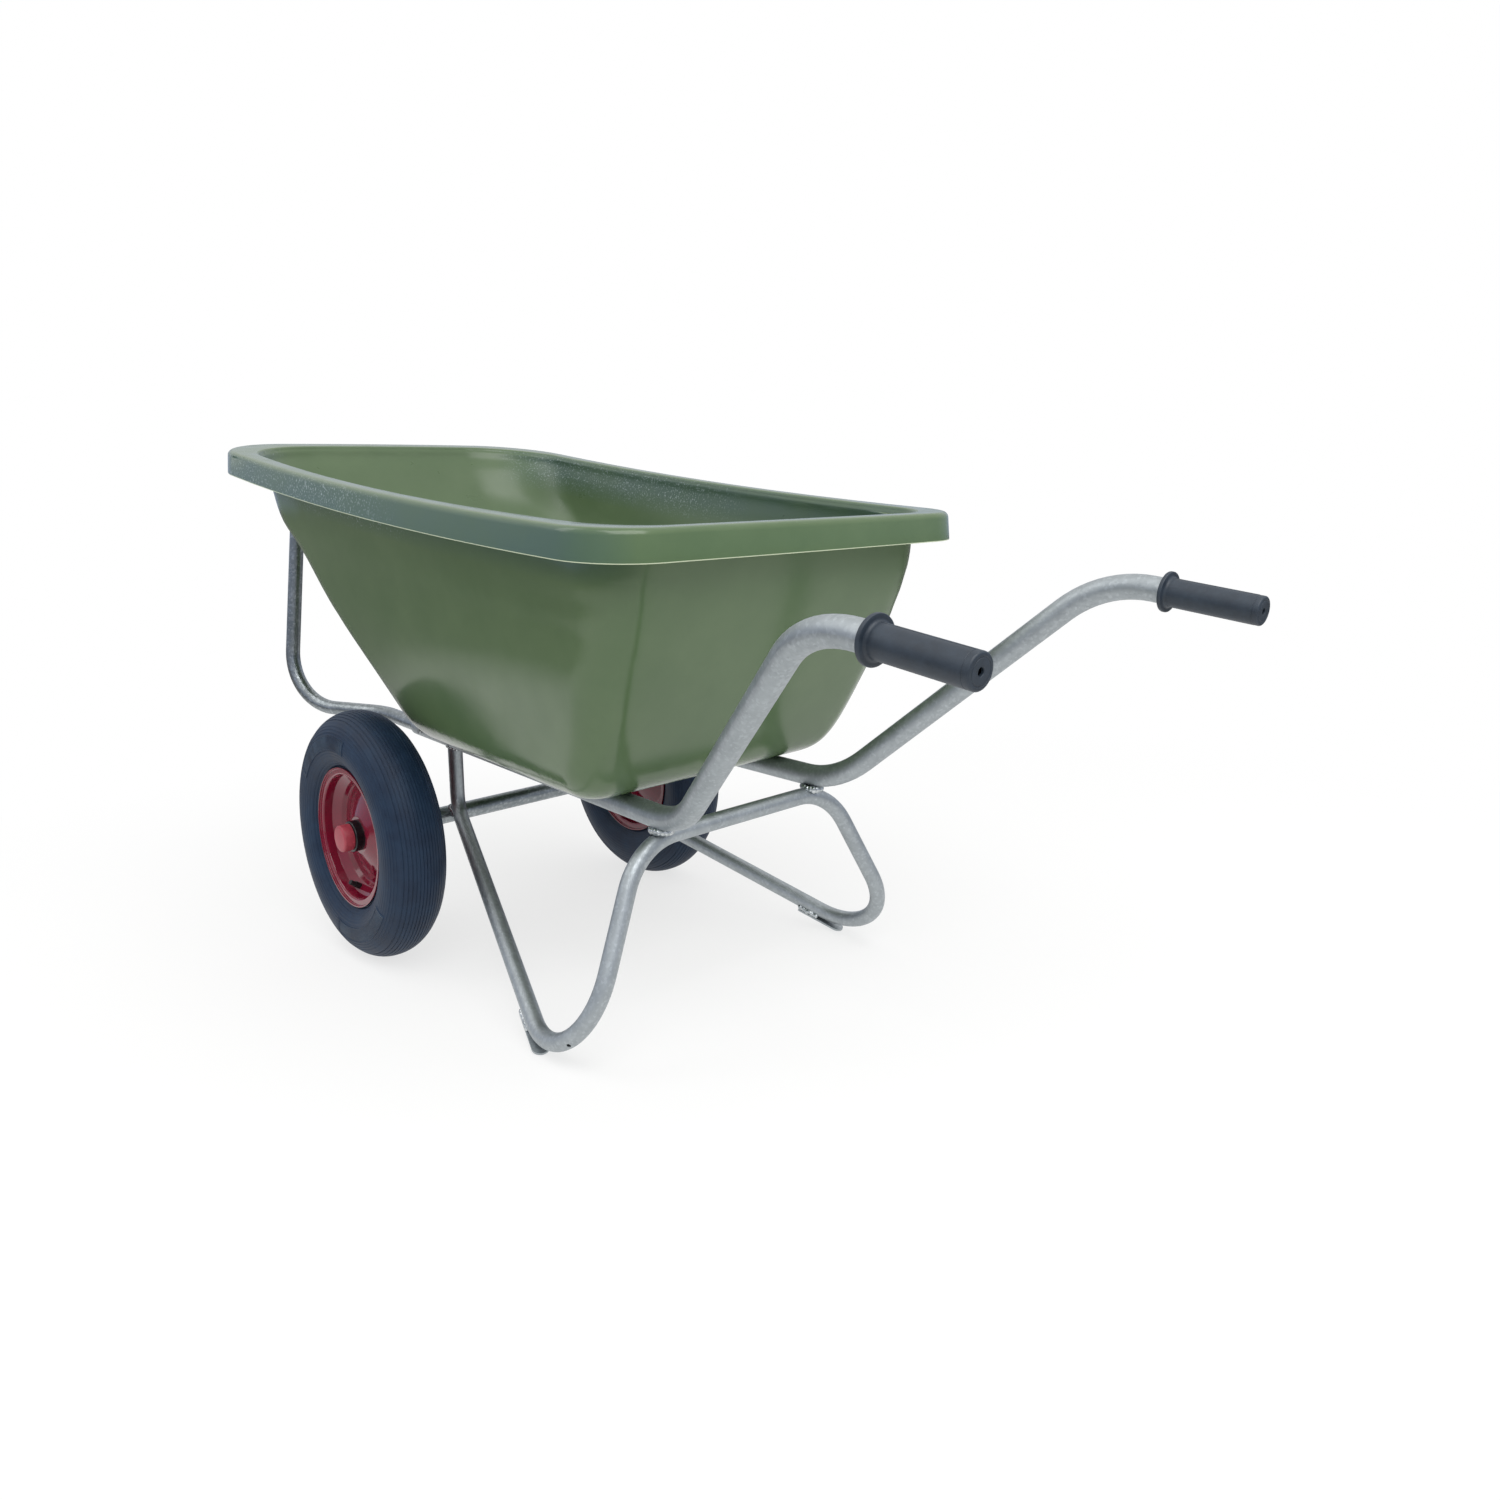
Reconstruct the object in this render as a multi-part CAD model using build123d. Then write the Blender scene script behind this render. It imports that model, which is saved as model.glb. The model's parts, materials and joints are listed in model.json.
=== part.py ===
"""Twin-wheel wheelbarrow: a moulded tub on a bent-tube frame with two pneumatic wheels.

Every piece is drawn about the centre of the axle, with the straight run of the rails level:
X runs from the nose to the handles, Y to the operator's right, Z up. The finished barrow is
then tipped back about its axle until its feet reach the ground that the tyres stand on, and
moved so that the origin is on the ground below the middle of its bounding box.
"""
import os
from math import asin, atan2, cos, degrees, hypot, pi, radians, sin, sqrt, tan

from build123d import *

# ---- wheels -------------------------------------------------------------------------
wheel_track = 552          # between the mid-planes of the two wheels
tyre_od = 400
tyre_width = 98
tyre_widest_d = 304        # diameter at which the sidewalls bulge most
tread_width = 86
tread_flat = 73            # across the gently crowned part, between the rounded shoulders
tread_drop = 13            # the shoulders lie this far below the crown
tread_crown = 4.3          # of which this much is the crown's own curve
tread_thickness = 11
sidewall_thickness = 6
groove_count = 7
groove_pitch = 10
groove_width = 3
groove_depth = 3
bead_width = 10
bead_fit = 0.05
heel_chamfer = 1.5
tube_wall = 2.5
tube_clearance = 0.3
lip_clearance = 1          # between the rim's lip and the start of the sidewall

rim_width = 64             # between the inner faces of the two bead flanges
rim_seat_d = 205
rim_seat_width = 14        # flat seat beside each flange, before the slope to the well
rim_flange_height = 10.5   # of the bead flanges, above the seats
rim_well_depth = 14        # of the well, below the seats
rim_well_width = 16        # across the narrow end of the slope, over both halves
rim_ring_width = 17.5      # flat ring inside the well, where the two halves meet
rim_lip = 4
rim_sheet = 2
rim_hub_flange = 11        # flat ring around the hub tube, inside each dished centre
rim_bend = 2.2             # bend radius of the sheet at its middle

hub_length = 36
hub_tube_od = 38
hub_tube_wall = 3
bush_head_d = 50
bush_head = 14
bush_round = 2             # on the edge of the head
bush_spigot = 15
bush_fit = 0.05            # all round, between a spigot and the hub tube
running_fit = 0.05         # all round, between a bush and the axle
running_gap = 0.3          # endwise, between turning and fixed faces

valve_stem_d = 9.5
valve_stem_length = 24
valve_base_d = 15
valve_base = 2
valve_cap_d = 7.5
valve_cap_length = 9
valve_bore_d = 2.5
valve_cap_wall = 1.5
valve_angle = 11           # from straight down, towards the nose
valve_fit = 0.05

# ---- axle ---------------------------------------------------------------------------
axle_bar_d = 29
axle_stub_d = 20
axle_chamfer = 1.5
thrust_washer_d = 36
thrust_washer = 2.5
clip_d = 28
clip_thickness = 2
clip_groove = 1.6          # depth of the groove in the axle
clip_opening = 14
clip_fit = 0.05
stub_beyond_clip = 8
cap_d = 48
cap_wall = 2
cap_depth = 17.5
cap_boss_wall = 3
cap_round = 1.5            # on the edge of the cap's face

# ---- frame tubes --------------------------------------------------------------------
rail_od = 32
rail_wall = 3
rail_height = 132.3        # rail centreline above the axle
rail_front_x = -120
rail_axle_y = 125.3        # rail centreline beside the axle
rail_bend_x = 639          # corner where the rails turn up and outwards
rail_bend_y = 143.5
rail_bend_radius = 140
handle_bend_x = 982        # corner where the handles level out
handle_bend_y = 265.3
handle_bend_z = 440.4
handle_bend_radius = 140
handle_end_x = 1180        # rear face of the grips
handle_end_y = 267.7
handle_end_z = 417.1

hoop_od = 25.4
hoop_wall = 2
hoop_tail_x = -42          # where the hoop ends inside the rails
hoop_splay_x = -262        # corner where it leaves the line of the rails
hoop_splay_radius = 135
hoop_corner_x = -466
hoop_corner_y = 215
hoop_corner_radius = 100
hoop_top_y = 167
hoop_top_radius = 100
hoop_tub_gap = 0.2         # under the tub's nose
hoop_wall_gap = 0.6        # in front of the tub's wall
hoop_bolt_x = -82
hoop_drain_x = -335        # vent under the straight part of each splayed run

leg_od = 24
leg_wall = 2
post_bend_radius = 40
foot_x = 645               # corner of the foot bend
foot_y = 325.7
foot_z = -199.5
foot_bend_radius = 97
crossbar_x = 590
crossbar_y = 175.7         # corner where the leg turns into the crossbar
crossbar_bend_radius = 97
weld_gap = 0.1             # root gap of the welds

foot_plate_width = 24
foot_plate_thickness = 3
foot_plate_lap = 34        # length welded under the straight part of the leg
foot_plate_reach = 45      # length beyond it, down to the ground
drain_hole_d = 6
foot_drain_run = 738       # along the tube from its end on the rail
foot_drain_way = (0.51, 0.72, -0.47)
crossbar_drain_run = 1019
crossbar_drain_way = (-0.24, 0.38, 0.9)

# ---- grips --------------------------------------------------------------------------
grip_od = 35
grip_fit = 0.05
grip_length = 112.5
grip_end_wall = 3
grip_end_hole_d = 8
grip_flange_d = 53
grip_flange = 5
grip_round = 2             # on the edge of the end face

# ---- tub ----------------------------------------------------------------------------
tub_wall = 4
tub_depth = 367.6          # from the underside of the floor to the top of the rim at the back
floor_seat_gap = 0.1       # between the rails and the tub's floor
rim_front_x = -462         # outline of the rim, with square corners and before it bows out
rim_rear_x = 732
rim_front_y = 329
rim_rear_y = 321
rim_front_radius = 149
rim_rear_radius = 85
rim_bow_side = 10.8
rim_bow_front = 19.3
rim_bow_rear = 3.3
rim_slope = 0.093          # it climbs to the nose by this
rim_dip = 14.4             # and sags this much halfway
rim_skirt = 39
rim_flare = 2.5            # the skirt's lower edge stands out this much
rim_skin = 3.5
rim_edge_radius = 9
rim_mouth_radius = 6

wall_inset_front = 33.2      # from the rim's outline to the wall, below the rim
wall_inset_rear = 28.1
wall_inset_side = 29.6
wall_front_radius = 153
wall_rear_radius = 77
wall_level = 20            # below the top of the rim, where those insets are measured
base_front_x = -1.2        # where the walls, carried on down, would meet the floor
base_rear_x = 544.4
base_front_y = 208
base_rear_y = 236.5
base_front_radius = 107
base_rear_radius = 45
base_least_radius = 14     # the rear corners stay at least this round down at the floor
base_rounding = 63
base_bow = 0.5             # the straight sides of the floor bow out by this
screw_pad_d = 38           # raised pads moulded on the floor under the washers
screw_pad = 0.6
wall_curve_front = 1.04    # 1 is a straight wall, more is a fuller one
wall_curve_rear = 1.34
wall_curve_side = 1.23

# ---- fixings ------------------------------------------------------------------------
tub_screw_d = 6.3
tub_screw_length = 22
tub_screw_head_d = 13
tub_screw_head = 5
tub_screw_front_x = 110
tub_screw_rear_x = 430
tub_washer_d = 30
tub_washer = 1.5
screw_fit = 0.05
clearance_hole = 0.35      # all round a screw or bolt that passes through
bolt_seat_gap = 0.05       # between a rail and the flat face of a bolt's head or nut
hoop_bolt_d = 6
hoop_bolt_head_af = 10
hoop_bolt_head = 4
hoop_nut = 5
hoop_bolt_tail = 2

# ---- worked out from the sizes above ------------------------------------------------
tyre_r = tyre_od / 2
rim_flange_d = rim_seat_d + 2 * rim_flange_height
rim_well_d = rim_seat_d - 2 * rim_well_depth
rim_ring_d = rim_well_d - 2 * rim_ring_width
wheel_y = wheel_track / 2
rail_r = rail_od / 2
leg_r = leg_od / 2
hoop_r = hoop_od / 2
axle_r = axle_bar_d / 2
bush_end = hub_length / 2 + bush_head
shoulder_y = wheel_y - bush_end - running_gap - thrust_washer
outer_washer_y = bush_end + running_gap     # from the wheel's mid-plane
clip_y = outer_washer_y + thrust_washer
stub_end_y = wheel_y + clip_y + clip_thickness + stub_beyond_clip
floor_z = rail_height + rail_r + floor_seat_gap
tub_bottom = floor_z + tub_wall
pad_top = tub_bottom + screw_pad
rim_rear_z = floor_z + tub_depth
rail_slope = (rail_bend_y - rail_axle_y) / rail_bend_x
far = 3000                 # beyond anything on the barrow


def rail_y(x):
    """Distance of a rail's centreline from the middle of the barrow, on its straight run."""
    return rail_axle_y + rail_slope * x


def rod_y(r, y0, y1):
    """A round bar along Y."""
    return Pos(0, (y0 + y1) / 2, 0) * Cylinder(r, abs(y1 - y0), rotation=(90, 0, 0))


def ring_y(r_out, r_in, y0, y1):
    """A plain round ring along Y."""
    return rod_y(r_out, y0, y1) - rod_y(r_in, y0 - 1, y1 + 1)


def sided(shape, side):
    """A piece drawn on the operator's right, or its mirror image on the left."""
    return shape if side > 0 else mirror(shape, about=Plane.XZ)


def bent_tube(path, od, wall):
    """A round tube along a path of straight runs and tangent bends."""
    end = Plane(origin=path @ 0, z_dir=path % 0)
    return sweep(end * (Circle(od / 2) - Circle(od / 2 - wall)), path=path)


def bent_bar(path, od):
    """The same path filled solid, used to cut what it passes through."""
    return sweep(Plane(origin=path @ 0, z_dir=path % 0) * Circle(od / 2), path=path)


def drill(point, direction, r, length):
    """A round cutter that starts at a point and runs along a direction."""
    return extrude(Plane(origin=point, z_dir=direction) * Circle(r), amount=length)


# ---- wheel pieces, drawn with the wheel's mid-plane on XZ and its outer face towards +Y ----
def tyre_sections():
    """Half-sections of the tyre's outside and of its cavity, radius along X and width along Y."""
    heel = rim_width / 2 - bead_fit
    seat_r = rim_seat_d / 2 + bead_fit
    flange_r = rim_flange_d / 2 + lip_clearance
    shoulder_r = tyre_r - tread_drop
    edge_r = tyre_r - tread_crown
    edge = tread_flat / 2
    outer = Polyline((flange_r, -heel), (seat_r + heel_chamfer, -heel), (seat_r, heel_chamfer - heel),
                     (seat_r, heel - heel_chamfer), (seat_r + heel_chamfer, heel), (flange_r, heel))
    outer += ThreePointArc((flange_r, heel), (tyre_widest_d / 2, tyre_width / 2),
                           (shoulder_r, tread_width / 2))
    outer += Line((shoulder_r, tread_width / 2), (edge_r, edge))
    outer += ThreePointArc((edge_r, edge), (tyre_r, 0), (edge_r, -edge))
    outer += Line((edge_r, -edge), (shoulder_r, -tread_width / 2))
    outer += ThreePointArc((shoulder_r, -tread_width / 2), (tyre_widest_d / 2, -tyre_width / 2),
                           (flange_r, -heel))
    toe = heel - bead_width
    inner_shoulder = (shoulder_r - tread_thickness / 2, tread_width / 2 - tread_thickness)
    belly = (tyre_widest_d / 2, tyre_width / 2 - sidewall_thickness)
    crown = (tyre_r - tread_thickness, 0)
    flip = lambda p: (p[0], -p[1])
    bead_top = (flange_r + sidewall_thickness, heel - sidewall_thickness)
    cavity = Polyline(flip(bead_top), (seat_r, -toe), (seat_r, toe), bead_top)
    cavity += ThreePointArc(bead_top, belly, inner_shoulder)
    cavity += ThreePointArc(inner_shoulder, crown, flip(inner_shoulder))
    cavity += ThreePointArc(flip(inner_shoulder), flip(belly), flip(bead_top))
    return make_face(outer), make_face(cavity)


def make_tyre():
    outer, cavity = tyre_sections()
    section = outer - cavity
    for i in range(groove_count):
        y = (i - (groove_count - 1) / 2) * groove_pitch
        crown = tyre_r - tread_crown * (2 * y / tread_flat) ** 2
        section -= Pos(crown, y) * Rectangle(2 * groove_depth, groove_width)
    return revolve(section, axis=Axis.Y, revolution_arc=360)


def make_inner_tube():
    cavity = tyre_sections()[1]
    skin = offset(cavity, amount=-tube_clearance)
    section = skin - offset(skin, amount=-tube_wall)
    return revolve(section, axis=Axis.Y, revolution_arc=360)


def rim_slope_line():
    """Ends of the slope from the bead seat down to the well, on the sheet's middle."""
    half = rim_sheet / 2
    seat = (rim_seat_d / 2 - half, rim_width / 2 - rim_seat_width)
    return seat, (rim_well_d / 2 - half, rim_well_width / 2)


def valve_axis():
    """Point on the rim's slope and outward direction of the valve, on the outer half."""
    (r1, y1), (r0, y0) = rim_slope_line()
    r, y = (r1 + r0) / 2, (y1 + y0) / 2
    run = hypot(r1 - r0, y1 - y0)
    dr, dy = -(y1 - y0) / run, (r1 - r0) / run
    a = radians(valve_angle)
    down = Vector(-sin(a), 0, -cos(a))
    return down * r + Vector(0, y, 0), down * dr + Vector(0, dy, 0)


def make_rim_half():
    """One pressed half of the wheel disc, on the +Y side of the mid-plane."""
    half = rim_sheet / 2
    flange_r = rim_flange_d / 2 - half
    flange_y = rim_width / 2 + half
    seat, well = rim_slope_line()
    hub_r = hub_tube_od / 2
    points = [(flange_r, flange_y + rim_lip), (flange_r, flange_y), (seat[0], flange_y), seat, well,
              (rim_well_d / 2 - 2 * rim_bend, half), (rim_ring_d / 2, half),
              (hub_r + rim_hub_flange, hub_length / 2 - half), (hub_r, hub_length / 2 - half)]
    line = FilletPolyline(*points, radius=rim_bend)
    return revolve(trace(line, line_width=rim_sheet), axis=Axis.Y, revolution_arc=360)


def make_rim_outer_half():
    point, out = valve_axis()
    hole = drill(point - out * (valve_stem_length / 2), out, valve_stem_d / 2 + valve_fit, valve_stem_length)
    return make_rim_half() - hole


def make_rim_inner_half():
    return mirror(make_rim_half(), about=Plane.XZ)


def make_hub_tube():
    r = hub_tube_od / 2 - bush_fit
    return ring_y(r, r - hub_tube_wall, -hub_length / 2, hub_length / 2)


def make_bush():
    """The outer bush: a broad head against the hub and a spigot inside the hub tube."""
    face = hub_length / 2
    spigot_r = hub_tube_od / 2 - hub_tube_wall - 2 * bush_fit
    body = rod_y(bush_head_d / 2, face, face + bush_head) + rod_y(spigot_r, face - bush_spigot, face)
    body = fillet(body.edges().filter_by(GeomType.CIRCLE).group_by(Axis.Y)[-1], bush_round)
    return body - rod_y(axle_stub_d / 2 + running_fit, face - bush_spigot - 1, face + bush_head + 1)


def make_valve_stem():
    point, out = valve_axis()
    inside = point - out * (rim_sheet / 2 + valve_base)
    stem = drill(inside, out, valve_base_d / 2, valve_base)
    stem += drill(inside, out, valve_stem_d / 2, valve_stem_length - valve_cap_length)
    neck = inside + out * (valve_stem_length - valve_cap_length)
    stem += drill(neck, out, valve_cap_d / 2 - valve_cap_wall, valve_cap_length / 2)
    return stem - drill(inside - out, out, valve_bore_d / 2, 2 * valve_stem_length)


def make_valve_cap():
    point, out = valve_axis()
    neck = point + out * (valve_stem_length - valve_cap_length - rim_sheet / 2 - valve_base)
    cap = drill(neck, out, valve_cap_d / 2, valve_cap_length)
    socket_r = valve_cap_d / 2 - valve_cap_wall + valve_fit
    return cap - drill(neck - out, out, socket_r, valve_cap_length / 2 + valve_cap_wall)


# ---- axle pieces, drawn about the axle centre -----------------------------------------
def make_axle():
    bar = rod_y(axle_r, -shoulder_y, shoulder_y)
    bar += rod_y(axle_stub_d / 2, -stub_end_y, stub_end_y)
    ends = bar.edges().filter_by(GeomType.CIRCLE).group_by(Axis.Y)
    bar = chamfer(ends[0] + ends[-1], axle_chamfer)
    for side in (-1, 1):
        y = wheel_y + clip_y
        bar -= sided(ring_y(axle_stub_d, axle_stub_d / 2 - clip_groove, y - clip_fit,
                            y + clip_thickness + clip_fit), side)
    return bar


def make_thrust_washer():
    """Between the axle's shoulder and the inner bush."""
    bore = axle_stub_d / 2 + running_fit
    return ring_y(thrust_washer_d / 2, bore, shoulder_y, shoulder_y + thrust_washer)


def make_outer_washer():
    y = wheel_y + outer_washer_y
    return ring_y(thrust_washer_d / 2, axle_stub_d / 2 + running_fit, y, y + thrust_washer)


def make_clip():
    """Open ring that snaps into the groove near the end of the axle."""
    y = wheel_y + clip_y
    ring = ring_y(clip_d / 2, axle_stub_d / 2 - clip_groove + clip_fit, y, y + clip_thickness)
    return ring - Pos(0, y + clip_thickness / 2, -clip_d / 2) * Box(clip_opening, 2 * clip_thickness, clip_d)


def make_hub_cap():
    """Cup over the washer and clip, with a boss that grips the end of the axle."""
    mouth = wheel_y + bush_end + 2 * running_gap
    top = mouth + cap_depth
    cap = rod_y(cap_d / 2, mouth, top)
    cap = fillet(cap.edges().filter_by(GeomType.CIRCLE).group_by(Axis.Y)[-1], cap_round)
    boss_start = wheel_y + clip_y + clip_thickness + running_gap
    cap -= ring_y(cap_d / 2 - cap_wall, axle_stub_d / 2 + cap_boss_wall, mouth - 1, top - cap_wall)
    cap -= rod_y(cap_d / 2 - cap_wall, mouth - 1, boss_start)
    return cap - rod_y(axle_stub_d / 2 + bush_fit, mouth - 1, stub_end_y + running_gap)


# ---- frame pieces, drawn on the operator's right where they come in pairs --------------
def handle_direction():
    return Vector(handle_end_x - handle_bend_x, handle_end_y - handle_bend_y,
                  handle_end_z - handle_bend_z).normalized()


def handle_end():
    return Vector(handle_end_x, handle_end_y, handle_end_z)


def rail_path():
    return FilletPolyline(
        (rail_front_x, rail_y(rail_front_x), rail_height), (rail_bend_x, rail_bend_y, rail_height),
        (handle_bend_x, handle_bend_y, handle_bend_z), handle_end() - handle_direction() * grip_end_wall,
        radius=[rail_bend_radius, handle_bend_radius])


def make_handle_rail():
    rail = bent_tube(rail_path(), rail_od, rail_wall)
    for x in (tub_screw_front_x, tub_screw_rear_x):
        rail -= drill((x, rail_y(x), rail_height), (0, 0, 1), tub_screw_d / 2 + screw_fit, rail_od)
    return rail - hoop_bolt_hole()


def hoop_bolt_line():
    """Where a rail's bolt crosses its centreline, and the direction out of the barrow, square to it."""
    centre = Vector(hoop_bolt_x, rail_y(hoop_bolt_x), rail_height)
    return centre, Vector(-rail_slope, 1, 0).normalized()


def hoop_bolt_hole():
    centre, out = hoop_bolt_line()
    return drill(centre - out * rail_od, out, hoop_bolt_d / 2 + clearance_hole, 2 * rail_od)


def rim_top(x):
    """Height of the top of the tub's rim."""
    middle, half = (rim_front_x + rim_rear_x) / 2, (rim_rear_x - rim_front_x) / 2
    return rim_rear_z + rim_slope * (rim_rear_x - x) - rim_dip * (1 - ((x - middle) / half) ** 2)


def hoop_top_x():
    """The hoop's top bar lies close in front of the tub's wall, behind the skirt of its nose."""
    return rim_front_x + wall_inset_front - rim_bow_front - hoop_wall_gap - hoop_r


def hoop_points():
    """Corners of one side of the hoop, from inside the rail to its top corner."""
    top_x = hoop_top_x()
    top_z = rim_top(top_x + hoop_r) - rim_skin - hoop_tub_gap - hoop_r
    return [(hoop_tail_x, rail_y(hoop_tail_x), rail_height), (hoop_splay_x, rail_y(hoop_splay_x), rail_height),
            (hoop_corner_x, hoop_corner_y, rail_height), (top_x, hoop_top_y, top_z)]


def make_front_hoop():
    right = hoop_points()
    left = [(x, -y, z) for x, y, z in reversed(right)]
    radii = [hoop_splay_radius, hoop_corner_radius, hoop_top_radius]
    path = FilletPolyline(*right, *left, radius=radii + radii[::-1])
    hoop = bent_tube(path, hoop_od, hoop_wall)
    splay, corner = Vector(*right[1]), Vector(*right[2])
    vent = splay + (corner - splay) * ((hoop_drain_x - splay.X) / (corner.X - splay.X))
    for side in (-1, 1):
        hoop -= sided(hoop_bolt_hole(), side)
        hoop -= sided(drill(vent, (0, 0, -1), drain_hole_d / 2, hoop_od), side)
    return hoop


def post_corner():
    """Corner between the post and the strut: the bend between them rests against the axle bar."""
    foot = Vector(foot_x, foot_y, foot_z)
    corner = Vector(0, rail_axle_y, 0)
    up = Vector(0, 0, 1)
    for _ in range(6):
        strut = (foot - corner).normalized()
        half_turn = pi / 2 - radians(up.get_angle(strut)) / 2
        inset = post_bend_radius * (1 / cos(half_turn) - 1)
        inward = (up + strut).normalized()
        along = (strut - up).normalized()
        away = Vector(-along.Z, 0, along.X).normalized()
        reach = axle_r + leg_r + weld_gap - inset * inward.dot(away)
        corner = Vector(away.X * reach, rail_axle_y, away.Z * reach)
    return corner


def crossbar_z():
    return rail_height - rail_r - weld_gap - leg_r


def leg_points():
    """Corners of one side of the leg frame, from the rail down to the foot and up to the crossbar."""
    post = post_corner()
    return [(post.X, post.Y, rail_height), (post.X, post.Y, post.Z), (foot_x, foot_y, foot_z),
            (crossbar_x, crossbar_y, crossbar_z())]


def make_leg_frame():
    right = leg_points()
    left = [(x, -y, z) for x, y, z in reversed(right)]
    radii = [post_bend_radius, foot_bend_radius, crossbar_bend_radius]
    path = FilletPolyline(*right, *left, radius=radii + radii[::-1])
    frame = bent_tube(path, leg_od, leg_wall)
    rail = bent_bar(rail_path(), rail_od + 2 * weld_gap)
    top = Pos(0, 0, rail_height + far / 2) * Box(2 * far, 2 * far, far)
    for side in (-1, 1):
        frame -= sided(rail, side)
        for run, way in (foot_drain_run, foot_drain_way), (crossbar_drain_run, crossbar_drain_way):
            hole = drill(path.position_at(run, PositionMode.LENGTH), way, drain_hole_d / 2, leg_od)
            frame -= sided(hole, side)
    return frame - top


def foot_frame():
    """Start of the foot bend, the leg's direction there, and the way down square to it."""
    corner = Vector(*leg_points()[2])
    strut = (corner - Vector(*leg_points()[1])).normalized()
    rise = (Vector(*leg_points()[3]) - corner).normalized()
    half_turn = radians(strut.get_angle(rise)) / 2
    start = corner - strut * (foot_bend_radius * tan(half_turn))
    down = (Vector(0, 0, -1) + strut * strut.Z).normalized()
    return start, strut, down


def make_foot_plate():
    """Flat tab welded under the leg, with a round end that meets the ground."""
    start, strut, down = foot_frame()
    plate = Plane(origin=start + down * (leg_r + weld_gap), x_dir=strut, z_dir=down)
    length = foot_plate_lap + foot_plate_reach - foot_plate_width / 2
    end = foot_plate_reach - foot_plate_width / 2
    tab = Pos(end - length / 2, 0) * Rectangle(length, foot_plate_width)
    tab += Pos(end, 0) * Circle(foot_plate_width / 2)
    return extrude(plate * tab, amount=foot_plate_thickness)


def foot_tip():
    start, strut, down = foot_frame()
    return start + strut * foot_plate_reach + down * (leg_r + weld_gap + foot_plate_thickness)


def make_grip():
    """Moulded grip with a guard flange, pushed over the end of the handle."""
    back = handle_direction() * -1
    end = handle_end()
    grip = drill(end, back, grip_od / 2, grip_length + grip_flange)
    grip = fillet(grip.edges().filter_by(GeomType.CIRCLE).sort_by(Axis.X)[-1], grip_round)
    grip += drill(end + back * grip_length, back, grip_flange_d / 2, grip_flange)
    grip -= drill(end + back * grip_end_wall, back, rail_r + grip_fit, 2 * grip_length)
    return grip - drill(end - back, back, grip_end_hole_d / 2, grip_end_wall + 2)


# ---- tub ------------------------------------------------------------------------------
def outline(plane, x0, x1, y0, y1, r0, r1, bow_side, bow_front, bow_rear):
    """Four gently bowed sides with round corners; 0 is the front and 1 the rear."""
    a, b, c, d = (x0, -y0), (x0, y0), (x1, y1), (x1, -y1)
    middle, wide = (x0 + x1) / 2, (y0 + y1) / 2
    sides = ThreePointArc(a, (x0 - bow_front, 0), b)
    sides += ThreePointArc(b, (middle, wide + bow_side), c)
    sides += ThreePointArc(c, (x1 + bow_rear, 0), d)
    sides += ThreePointArc(d, (middle, -wide - bow_side), a)
    face = make_face(sides)
    face = fillet(face.vertices().sort_by(Axis.X)[:2], r0)
    face = fillet(face.vertices().sort_by(Axis.X)[-2:], r1)
    return plane * face


def wall_reach(base, top, curve, height, wall_height, inset):
    """How far a wall stands out at a height above the floor, its foot rounded into the floor."""
    share = lambda h: min(h / wall_height, 1)
    reach = lambda h: base + (top - base) * (1 - (1 - share(h)) ** curve)
    lean = lambda h: atan2((top - base) * curve * (1 - min(share(h), 0.99)) ** (curve - 1), wall_height)
    meeting = base_rounding / 2
    for _ in range(8):
        meeting = base_rounding * (1 - sin(lean(meeting)))
    if height >= meeting:
        return reach(height) - inset / cos(lean(height))
    centre = reach(meeting) - base_rounding * cos(lean(meeting))
    r = base_rounding - inset
    return centre + sqrt(max(r * r - (base_rounding - height) ** 2, 0))


def tub_section(height, inset=0):
    """Section through the tub's body at a height above its floor, measured at the rear.

    The sections are level in the rounding of the floor, and tilt with the rim above it.
    """
    rear_height = rim_rear_z - wall_level - floor_z
    tilt = max(height - base_rounding, 0) / (rear_height - base_rounding)
    climb = rim_slope * (rim_rear_x - rim_front_x)
    front = -wall_reach(-base_front_x, -rim_front_x - wall_inset_front, wall_curve_front,
                        height + climb * tilt, rear_height + climb, inset)
    rear = wall_reach(base_rear_x, rim_rear_x - wall_inset_rear, wall_curve_rear, height, rear_height, inset)
    middle = height + climb * tilt / 2, rear_height + climb / 2
    front_y = wall_reach(base_front_y, rim_front_y - wall_inset_side, wall_curve_side, *middle, inset)
    rear_y = wall_reach(base_rear_y, rim_rear_y - wall_inset_side, wall_curve_side, *middle, inset)
    slope = rim_slope * tilt
    stretch = hypot(1, slope)
    origin = (0, 0, floor_z + height + slope * rim_rear_x)
    plane = Plane(origin=origin, x_dir=(1, 0, -slope), z_dir=(slope, 0, 1))
    blend = lambda low, high: low + (high - low) * min(tilt, 1)
    drawn_in = max(base_rear_y - rear_y, 0) / 2
    return outline(
        plane, front * stretch, rear * stretch, front_y, rear_y,
        blend(base_front_radius, wall_front_radius) - drawn_in,
        max(blend(base_rear_radius, wall_rear_radius) - drawn_in, base_least_radius),
        blend(base_bow, rim_bow_side), blend(base_bow, rim_bow_front), blend(base_bow, rim_bow_rear))


def tub_body(inset=0):
    """The tub's body as a solid, running on past the rim."""
    r = base_rounding - inset
    foot = [inset + r * (1 - cos(radians(angle))) for angle in (0, 20, 36, 52, 66, 78, 90)]
    rear_height = rim_rear_z - wall_level - floor_z
    upper = [base_rounding + (rear_height - base_rounding) * share for share in (0.2, 0.45, 0.72, 1, 1.14)]
    return loft([tub_section(height, inset) for height in foot + upper])


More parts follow.
